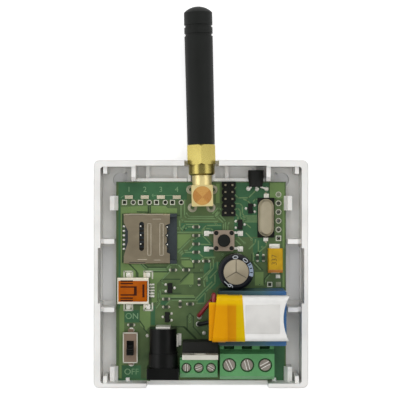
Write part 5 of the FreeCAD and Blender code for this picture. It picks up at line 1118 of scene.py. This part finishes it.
    def chip_solder(self) -> None:
        """Adds tinned ends and solder to the chips, a cover to each lamp, and solder to transistors' legs."""
        ends, mesh, lamps = bmesh.new(), bmesh.new(), bmesh.new()
        over = Vector([self.end_cover] * 3)
        for low, high in solids_mm("chip_passives"):
            middle, half = (low + high) / 2, (high - low) / 2
            if middle.x < self.lamp_corner[0] and middle.y > self.lamp_corner[1]:
                middle.y -= self.lamp_shift
                reach = Vector((*self.lamp_size, high.z - low.z)) / 2 + over
                slab(lamps, middle - reach, middle + reach, bevel=0.08)
                continue
            along = 0 if half.x > half.y else 1
            for side in (-1, 1):
                reach = half.copy()
                reach[along] = self.end_length / 2
                spot = middle.copy()
                spot[along] += side * (half[along] - reach[along])
                slab(ends, spot - reach - over, spot + reach + over, bevel=0.03)
                spot[along] += side * self.end_length
                spot.z, reach.z = self.face + self.solder_half_height, self.solder_half_height
                reach[1 - along] *= self.solder_share
                slab(mesh, spot - reach, spot + reach, bevel=0.07)
        finished(ends, "chip_ends", Look.DULL_SOLDER)
        finished(lamps, "lamp_covers", Look.LAMP)
        for low, high in solids_mm("small_transistors"):
            middle, half = (low + high) / 2, (high.x - low.x) / 2
            lone = half if self.lone_leg_right(low, high) else -half
            for x, y in ((lone, 0.0), (-lone, self.leg_aside), (-lone, -self.leg_aside)):
                self.dome(mesh, (middle.x + x, middle.y + y), *self.leg_dome)
        finished(mesh, "chip_solder", Look.SOLDER)

    def lone_leg_right(self, low: Vector, high: Vector) -> bool:
        """Finds on which side a transistor has its single leg.

        Args:
            low: the transistor's lowest corner.
            high: its highest corner.

        Returns:
            True if the single leg is on the right.
        """
        near, pair_apart = 0.01, 1.0
        places = [vertex.co / MM for vertex in frame["nodes"]["small_transistors"].data.vertices]
        feet = [at.y for at in places if abs(at.x - high.x) < near and low.y - near < at.y < high.y + near]
        return max(feet) - min(feet) < pair_apart

    def print_marks(self) -> None:
        """Adds the numbers of the four lamps, the switch's two words, and a few printed lines."""
        y, z = self.corner.y - self.number_down, self.face + self.print_height
        for number in range(self.row_count):
            place = move(self.number_x + self.number_pitch * number, y, z)
            name = f"lamp_number_{number + 1}"
            lettering(str(number + 1), name, self.number_height, place, Look.DULL_INK)
        for word, at in self.words.items():
            lettering(word.upper(), f"switch_word_{word}", self.word_height, move(*at, z), Look.DULL_INK)
        self.lines("printed_lines", Copper.marks, self.print_width, self.pad_height, Look.DULL_INK)


@dataclass
class CardHolder(SubAssembly):
    """The telephone card's holder, in millimetres."""

    line_width: float = 0.16
    line_sink: float = 0.02
    line_lift: float = 0.03
    first_tail: Point = (-22.04, 13.45)
    tail_pitch: float = 1.3
    tail_count: int = 6
    tail_half: Point = (0.62, 0.27)
    nose_half: Point = (0.2, 0.2)
    nose_low: float = 0.5

    finishes = {
        "sim_holder_frame": Look.SLATE,
        "sim_holder_shell": Look.CARD_STEEL,
        "sim_contacts": Look.SHADED_CONTACT,
    }

    # The two ribs pressed into the shell: opposite corners
    ribs = (((-15.37, 14.29), (-14.44, 5.16)), ((-11.89, 14.29), (-10.91, 5.16)))
    # Straight edges that catch the light
    edges = (
        ((-13.92, 15.59), (-11.6, 15.59)), ((-18.27, 3.94), (-15.66, 3.94)), ((-13.63, 3.77), (-11.75, 3.77)),
        ((-21.75, 16.96), (-11.02, 16.96)),
    )
    # Noses of the contacts that show through the shell's slots
    noses = ((-17.46, 13.48), (-17.46, 10.96), (-17.46, 8.38), (-9.78, 13.27), (-9.78, 10.87), (-9.78, 8.23))

    def build(self) -> None:
        """Adds the bright edges of the shell's pressed shapes, and the bright tails and noses."""
        top, face = box_mm("sim_holder_shell")[1].z, board_face()
        edges, bright = bmesh.new(), bmesh.new()
        for path in (*(closed(*rib) for rib in self.ribs), *self.edges):
            run(edges, path, self.line_width, top - self.line_sink, top + self.line_lift)
        for number in range(self.tail_count):
            at = (self.first_tail[0], self.first_tail[1] - number * self.tail_pitch)
            pad(bright, at, self.tail_half, face, rise=0.7, bevel=0.12)
        for at in self.noses:
            pad(bright, at, self.nose_half, face + self.nose_low, rise=1.0, bevel=0.08)
        finished(edges, "sim_pressed_edges", Look.PRESSED_EDGE)
        finished(bright, "sim_bright_contacts", Look.SOLDER)


@dataclass
class UsbSocket(SubAssembly):
    """The mini USB socket with the orange film on top, in millimetres."""

    film_thick: float = 0.04
    # How far the film ends inside the shell's four sides
    film_left: float = 0.28
    film_right: float = 0.5
    film_low: float = 1.95
    film_high: float = 2.15
    crease_sink: float = 0.01
    crease_lift: float = 0.02
    bracket_width: float = 0.42
    bracket_height: float = 0.03
    bracket_half: Point = (1.2, 1.05)
    foot_half: Point = (0.62, 0.75)
    first_pin: Point = (-14.21, -3.39)
    pin_half: Point = (0.72, 0.24)
    pin_pitch: float = 0.87
    pin_count: int = 5

    finishes = {
        "usb_shell": Look.USB_STEEL,
        "usb_insert": Look.BLACK_LCP,
        "usb_pins": Look.SOLDER,
    }

    # Stamped shapes that show through the film as painted shade: from the shell's left side, and along the
    # board
    creases = (
        (0.9, -2.4, 4.5, -2.0), (0.9, -3.1, 4.5, -2.75), (0.9, -4.1, 4.9, -3.7), (4.8, -6.4, 5.6, -3.7),
        (0.9, -6.4, 4.9, -6.0), (0.9, -7.3, 4.5, -6.9), (0.9, -8.0, 4.5, -7.6), (7.2, -6.9, 7.8, -3.2),
    )
    # The shell's feet, and the way that each stands out from it
    feet = (((-21.08, -0.64), 1), ((-15.29, -0.64), 1), ((-21.08, -9.83), -1), ((-15.29, -9.83), -1))

    def build(self) -> None:
        """Adds the film, painted shade in the stamped shapes that show through it, and the feet's pads and
        solder.
        """
        low, high = box_mm("usb_shell")
        face, top = low.z, high.z + self.film_thick
        film, creases, brackets, solder = bmesh.new(), bmesh.new(), bmesh.new(), bmesh.new()
        near_corner = (low.x + self.film_left, low.y + self.film_low, high.z)
        slab(film, near_corner, (high.x - self.film_right, high.y - self.film_high, top), bevel=0.015)
        for x0, y0, x1, y1 in self.creases:
            slab(creases, (low.x + x0, y0, top - self.crease_sink), (low.x + x1, y1, top + self.crease_lift))
        wide, long = self.bracket_half
        for (x, y), way in self.feet:
            near, far = y - way * long, y + way * long
            path = ((x - wide, near), (x - wide, far), (x + wide, far), (x + wide, near))
            run(brackets, path, self.bracket_width, face, face + self.bracket_height)
            pad(solder, (x, y), self.foot_half, face, rise=0.7, bevel=0.2)
        for number in range(self.pin_count):
            at = (self.first_pin[0], self.first_pin[1] - number * self.pin_pitch)
            pad(solder, at, self.pin_half, face, rise=0.4, bevel=0.08)
        finished(film, "usb_film", Look.USB_FILM)
        finished(creases, "usb_film_crease_shades", Look.USB_CREASE_SHADE)
        finished(solder, "usb_solder", Look.SOLDER)
        finished(brackets, "usb_foot_pads", Look.PAD)


@dataclass
class Switches(SubAssembly):
    """The slide switch and the push switch, in millimetres."""

    # Where the painted highlight along the frame's edge lies, how wide it is and how high it stands
    edge_in: float = 0.12
    edge_low: float = -25.67
    edge_high: float = -17.15
    edge_width: float = 0.28
    edge_sink: float = 0.04
    edge_lift: float = 0.02

    finishes = {
        "slide_switch_frame": Look.SWITCH_STEEL,
        "slide_switch_base": Look.BLACK_LCP,
        "slide_switch_knob": Look.BLACK_LCP,
        "tact_base": Look.BLACK_LCP,
        "tact_cover": Look.TIN_STEEL,
        "tact_plunger": Look.BUTTON,
        "tact_legs": Look.SOLDER,
    }

    def build(self) -> None:
        """Adds a pale line along the edge of the slide switch's frame, a painted highlight."""
        low, high = box_mm("slide_switch_frame")
        path = closed((low.x + self.edge_in, self.edge_low), (high.x - self.edge_in, self.edge_high))
        edge = bmesh.new()
        run(edge, path, self.edge_width, high.z - self.edge_sink, high.z + self.edge_lift)
        finished(edge, "slide_switch_edge_highlight", Look.PAD)


@dataclass
class PowerInput(SubAssembly):
    """The power socket and the voltage regulator."""

    finishes = {
        "dc_jack_housing": Look.JACK,
        "dc_jack_contacts": Look.SOLDER,
        "regulator_body": Look.EPOXY,
        "regulator_tab": Look.TAB,
    }


@dataclass
class Terminals(SubAssembly):
    """Both screw terminal blocks, with the painted slot glints' measures as shares of a screw's radius."""

    glint_aside: float = 0.24
    glint_reach: float = 0.8
    glint_width: float = 0.13
    glint_sink_mm: float = 0.03
    glint_lift_mm: float = 0.02

    finishes = {
        "small_terminal_block": Look.TERMINAL,
        "big_terminal_block": Look.TERMINAL,
        "terminal_contacts": Look.SOLDER,
        **{
            f"{size}_{kind}_{number}": Look.ZINC
            for size in ("small", "big") for kind in ("screw", "cage") for number in (1, 2, 3)
        },
    }

    # Where each screw's slot points, in degrees
    slot_angles = {"small": (88, 20, 150), "big": (115, 105, 28)}

    def build(self) -> None:
        """Adds painted highlights, the glints of the slot's walls, on both sides of each screw's slot."""
        for size, angles in self.slot_angles.items():
            for number, angle in enumerate(angles, 1):
                node = f"{size}_screw_{number}"
                low, high = box_mm(node)
                middle, radius = (low + high) / 2, (high.x - low.x) / 2
                foot, top = high.z - self.glint_sink_mm, high.z + self.glint_lift_mm
                slot_glints = bmesh.new()
                for side in (-1, 1):
                    spot = turned(middle, side * radius * self.glint_aside, angle + 90)
                    ends = [turned(spot, way * radius * self.glint_reach, angle) for way in (-1, 1)]
                    run(slot_glints, ends, radius * self.glint_width, foot, top)
                finished(slot_glints, f"{node}_burrs", Look.SLOT_GLINT, body_of(frame["nodes"][node])[0])


@dataclass
class Components(SubAssembly):
    """Capacitors, crystal, header, sensor and chips, in millimetres."""

    digit_radius: float = 4.2
    digit_height: float = 1.6
    digit_lift: float = 0.02
    score_reach: float = 3.3
    score_width: float = 0.2
    score_half_height: float = 0.02
    stripe: Point = (3.75, 4.86)
    stripe_lift: float = 0.012
    dash: Point = (3.95, 4.66)
    dash_length: int = 4
    dash_lift: float = 0.02
    sink: float = 0.01
    band_in: float = 0.02
    band_width: float = 0.85
    band_depth: float = 0.4
    band_lift: float = 0.012
    value_height: float = 1.5
    value_shift: Point = (-0.3, 0.2)
    pad_height: float = 0.2

    finishes = {
        "capacitor_can": Look.CAN,
        "capacitor_sleeve": Look.SLEEVE,
        "tantalum_body": Look.OCHRE,
        "tantalum_terminals": Look.SOLDER,
        "crystal_can": Look.CRYSTAL,
        "crystal_base": Look.BLACK_LCP,
        "header_block": Look.BLACK_LCP,
        "header_pins": Look.CONTACT,
        "sensor_body": Look.EPOXY,
        "sensor_leads": Look.SOLDER,
        "gsm_modem": Look.SHIELD,
        "microcontroller": Look.EPOXY,
        "small_transistors": Look.EPOXY,
        "chip_passives": Look.CERAMIC,
    }

    # Digits on the sleeve: what each says, its angle in degrees and its letter
    digits = (("0", 92, "a"), ("0", 51, "b"), ("1", 227, "c"), ("6", 247, "d"))
    # Where the score's three lines, the stripe's pieces and its dashes point, in degrees
    score_angles = (90, 210, 330)
    stripe_angles = range(-16, 34, 5)
    dash_angles = (-4, 12, 26)
    # The tantalum capacitor's pads: lowest and highest corner
    pads = (((19.79, 7.04), (22.83, 8.40)), ((21.64, -1.57), (22.95, -0.49)))

    def build(self) -> None:
        """Adds the marks on the round capacitor and on the tantalum one."""
        self.sleeve_marks()
        self.tantalum_marks()

    def sleeve_marks(self) -> None:
        """Adds the digits and the polarity stripe on the sleeve's turned-in rim, and the painted shade of the
        score on the can.
        """
        low, high = box_mm("capacitor_sleeve")
        middle = (low + high) / 2
        for text, angle, letter in self.digits:
            place = move(*turned(middle, self.digit_radius, angle), high.z + self.digit_lift)
            place @= Matrix.Rotation(math.radians(angle), 4, "Z")
            lettering(text, f"sleeve_digit_{letter}", self.digit_height, place, Look.SLEEVE_PRINT)
        scores, stripe, dashes = bmesh.new(), bmesh.new(), bmesh.new()
        can_top, half = box_mm("capacitor_can")[1].z, self.score_half_height
        for angle in self.score_angles:
            path = (middle.to_2d(), turned(middle, self.score_reach, angle))
            run(scores, path, self.score_width, can_top - half, can_top + half)
        centre = (middle.x, middle.y, high.z)
        for angle in self.stripe_angles:
            ends = (angle, angle + self.stripe_angles.step)
            self.sector(stripe, centre, ends, self.stripe, self.stripe_lift)
        for angle in self.dash_angles:
            self.sector(dashes, centre, (angle, angle + self.dash_length), self.dash, self.dash_lift)
        finished(scores, "capacitor_score_shade", Look.SCORE_SHADE)
        finished(stripe, "sleeve_stripe", Look.SLEEVE_STRIPE)
        finished(dashes, "sleeve_stripe_dashes", Look.SLEEVE)

    def sector(self, mesh: Mesh, centre: Spot, angles: Point, radii: Point, lift: float) -> None:
        """Adds a short flat piece of a ring.

        Args:
            mesh: the mesh that gets it.
            centre: of the ring, at its top.
            angles: its first and last angle in degrees.
            radii: its inner and outer radius.
            lift: how far it stands up.
        """
        (start, end), (inner, outer) = angles, radii
        corners = ((inner, start), (outer, start), (outer, end), (inner, end))
        plate(mesh, [turned(centre, *corner) for corner in corners], centre[2] - self.sink, centre[2] + lift)

    def tantalum_marks(self) -> None:
        """Adds the polarity band, the laser-marked value and the pads."""
        low, high = box_mm("tantalum_body")
        face = board_face()
        band, pads = bmesh.new(), bmesh.new()
        near_corner = (low.x + self.band_in, low.y + self.band_in, high.z - self.band_depth)
        far_corner = (high.x - self.band_in, low.y + self.band_width, high.z + self.band_lift)
        slab(band, near_corner, far_corner, bevel=0.02)
        finished(band, "tantalum_band", Look.OCHRE_BAND)
        middle = (low + high) / 2
        place = move(middle.x + self.value_shift[0], middle.y + self.value_shift[1], high.z)
        place @= Matrix.Rotation(math.pi / 2, 4, "Z")
        lettering("337", "tantalum_value", self.value_height, place, Look.OCHRE_PRINT, thick=0.008)
        for near, far in self.pads:
            slab(pads, (*near, face), (*far, face + self.pad_height), bevel=0.08)
        finished(pads, "tantalum_pads", Look.SOLDER)


@dataclass
class RelayAndCell(SubAssembly):
    """The relay with the pouch cell taped to it, in millimetres."""

    plateau_low: Point = (12.35, -16.0)
    plateau_high: Point = (21.9, -7.9)
    plateau_lift: float = 0.2
    plateau_depth: float = 0.4

    finishes = {
        "relay_case": Look.RELAY,
        "relay_pins": Look.SOLDER,
        "battery_cell": Look.POUCH,
        "battery_tape": Look.TAPE,
        "battery_lead_red": Look.RED,
        "battery_lead_black": Look.BLACK,
    }

    def build(self) -> None:
        """Adds the flat top of the cell's stack, which shows through the foil, painted a little greyer as
        shade.
        """
        top = box_mm("battery_cell")[1].z
        low, high = top - self.plateau_depth, top + self.plateau_lift
        stack = bmesh.new()
        slab(stack, (*self.plateau_low, low), (*self.plateau_high, high), bevel=0.19)
        finished(stack, "cell_plateau", Look.POUCH_FLAT_SHADE)


@dataclass
class Antenna(SubAssembly):
    """The stub antenna, its nut and its socket."""

    finishes = {
        "antenna_sheath": Look.RUBBER,
        "antenna_plug": Look.GOLD,
        "coupling_nut": Look.GOLD,
        "antenna_jack_body": Look.PALE_GOLD,
        "antenna_jack_insulator": Look.PTFE,
        "antenna_jack_cap": Look.FILM,
    }


# Studio


@dataclass
class Studio:
    """Floor, lights and camera, in metres where nothing else is said."""

    camera_mm: tuple[float, float, float] = (-0.30, 21.1, 457.6)
    camera_roll: float = 0.02
    lens: float = 139.7
    aim: tuple[float, float, float] = (0.0, 0.02, 0.0)
    floor_size: float = 4.0
    floor_drop: float = 0.0002
    floor_colour: tuple[float, float, float, float] = (0.86, 0.86, 0.86, 1.0)
    floor_lift: float = 0.45
    tray_half: Point = (0.0306, 0.0325)
    # The room's light on surfaces, from the horizon and from overhead
    room_light: Point = (0.11, 0.33)
    # How bright its ceiling looks in gloss, and how steep a ray starts and ends to see it dim
    ceiling_light: float = 0.36
    ceiling_span: Point = (0.45, 0.92)

    # Square lights: name, place, side, power in watts, and whether gloss mirrors them
    lamps = (
        ("window", (0.10, 0.40, 0.46), 0.34, 0.8, True),
        ("right", (0.42, 0.02, 0.42), 0.30, 0.35, True),
        ("left", (-0.42, -0.02, 0.42), 0.34, 0.6, True),
        ("ceiling", (0.0, 0.02, 0.77), 0.50, 2.3, False),
    )

    def make(self) -> None:
        """Builds all of it."""
        self.floor()
        for lamp in self.lamps:
            self.lamp(*lamp)
        self.world()
        self.camera()

    def background_rays(self, tree: Tree) -> Socket:
        """Finds the rays that see the background: from the camera, or by way of gloss or glass.

        Args:
            tree: the tree that gets the nodes.

        Returns:
            A socket that is 1 for these rays.
        """
        rays = add_node(tree, "ShaderNodeLightPath").outputs
        seen = arithmetic(tree, "MAXIMUM", rays["Is Camera Ray"], rays["Is Glossy Ray"])
        return arithmetic(tree, "MAXIMUM", seen, rays["Is Transmission Ray"])

    def floor(self) -> None:
        """Adds the plain pale floor that the tray lies on."""
        mesh = bmesh.new()
        bmesh.ops.create_grid(mesh, x_segments=1, y_segments=1, size=self.floor_size / 2)
        data = bpy.data.meshes.new("floor")
        mesh.to_mesh(data)
        mesh.free()
        data.materials.append(self.card())
        floor = bpy.data.objects.new("floor", data)
        bpy.context.scene.collection.objects.link(floor)
        floor.location.z = -self.floor_drop

    def card(self) -> bpy.types.Material:
        """Makes the floor's matt white card, which looks brighter beside the tray than under it.

        Returns:
            The material.
        """
        made = bpy.data.materials.new("matte_white_card")
        tree = emptied(made)
        place = coordinates(tree)
        beside = []
        for axis, half in zip("XY", self.tray_half):
            away = arithmetic(tree, "ABSOLUTE", part_of(tree, place, axis))
            beside.append(arithmetic(tree, "GREATER_THAN", away, half))
        shown = arithmetic(tree, "MULTIPLY", self.background_rays(tree), arithmetic(tree, "MAXIMUM", *beside))
        lift = arithmetic(tree, "MULTIPLY", shown, self.floor_lift)
        card = add_node(tree, "ShaderNodeBsdfDiffuse", inputs={"Color": self.floor_colour})
        glow = add_node(tree, "ShaderNodeEmission", inputs={"Strength": lift})
        both = add_node(tree, "ShaderNodeAddShader", inputs={0: card.outputs[0], 1: glow.outputs[0]})
        add_node(tree, "ShaderNodeOutputMaterial", inputs={"Surface": both.outputs[0]})
        return made

    def lamp(self, name: str, at: Spot, size: float, power: float, mirrored: bool) -> None:
        """Adds a square soft light aimed at the module.

        Args:
            name: its name.
            at: its place.
            size: its side.
            power: in watts.
            mirrored: whether glossy surfaces mirror it.
        """
        data = bpy.data.lights.new(name, "AREA")
        data.size = size
        data.energy = power
        lamp = bpy.data.objects.new(name, data)
        lamp.location = at
        lamp.rotation_euler = (Vector(at) - Vector(self.aim)).to_track_quat("Z", "Y").to_euler()
        lamp.visible_glossy = mirrored
        bpy.context.scene.collection.objects.link(lamp)

    def world(self) -> None:
        """Adds an even pale surrounding, white as a background, with a dimmer ceiling for gloss to mirror."""
        world = bpy.data.worlds.new("pale_room")
        tree = emptied(world)
        way = add_node(tree, "ShaderNodeTexCoord").outputs["Generated"]
        up = part_of(tree, way, "Z")
        whole = (0.0, 1.0)
        in_gloss = mapped(tree, up, self.ceiling_span, (1.0, self.ceiling_light), "SMOOTHSTEP")
        on_surfaces = mapped(tree, up, whole, self.room_light)
        strength = mapped(tree, self.background_rays(tree), whole, (on_surfaces, in_gloss))
        camera_ray = add_node(tree, "ShaderNodeLightPath").outputs["Is Camera Ray"]
        shown = mapped(tree, camera_ray, whole, (strength, 1.0))
        white = {"Color": (1.0, 1.0, 1.0, 1.0), "Strength": shown}
        light = add_node(tree, "ShaderNodeBackground", inputs=white)
        add_node(tree, "ShaderNodeOutputWorld", inputs={"Surface": light.outputs[0]})
        bpy.context.scene.world = world

    def camera(self) -> None:
        """Adds the camera that looks straight down, a little turned as in the photograph."""
        data = bpy.data.cameras.new("camera")
        data.lens = self.lens
        data.sensor_width = 36.0
        data.clip_start = 0.01
        camera = bpy.data.objects.new("camera", data)
        camera.location = Vector(self.camera_mm) * MM
        camera.rotation_euler = (0.0, 0.0, math.radians(self.camera_roll))
        bpy.context.scene.collection.objects.link(camera)
        bpy.context.scene.camera = camera


def main() -> None:
    """Builds the studio and every sub-assembly."""
    logging.basicConfig(level=logging.INFO, format="%(name)s %(message)s")
    bpy.context.scene.view_settings.view_transform = "Standard"
    Studio().make()
    for sub_assembly in (
        Tray(), Board(), CardHolder(), UsbSocket(), Switches(), PowerInput(), Terminals(), Components(),
        RelayAndCell(), Antenna(),
    ):
        sub_assembly.make()


if __name__ == "__main__":
    main()
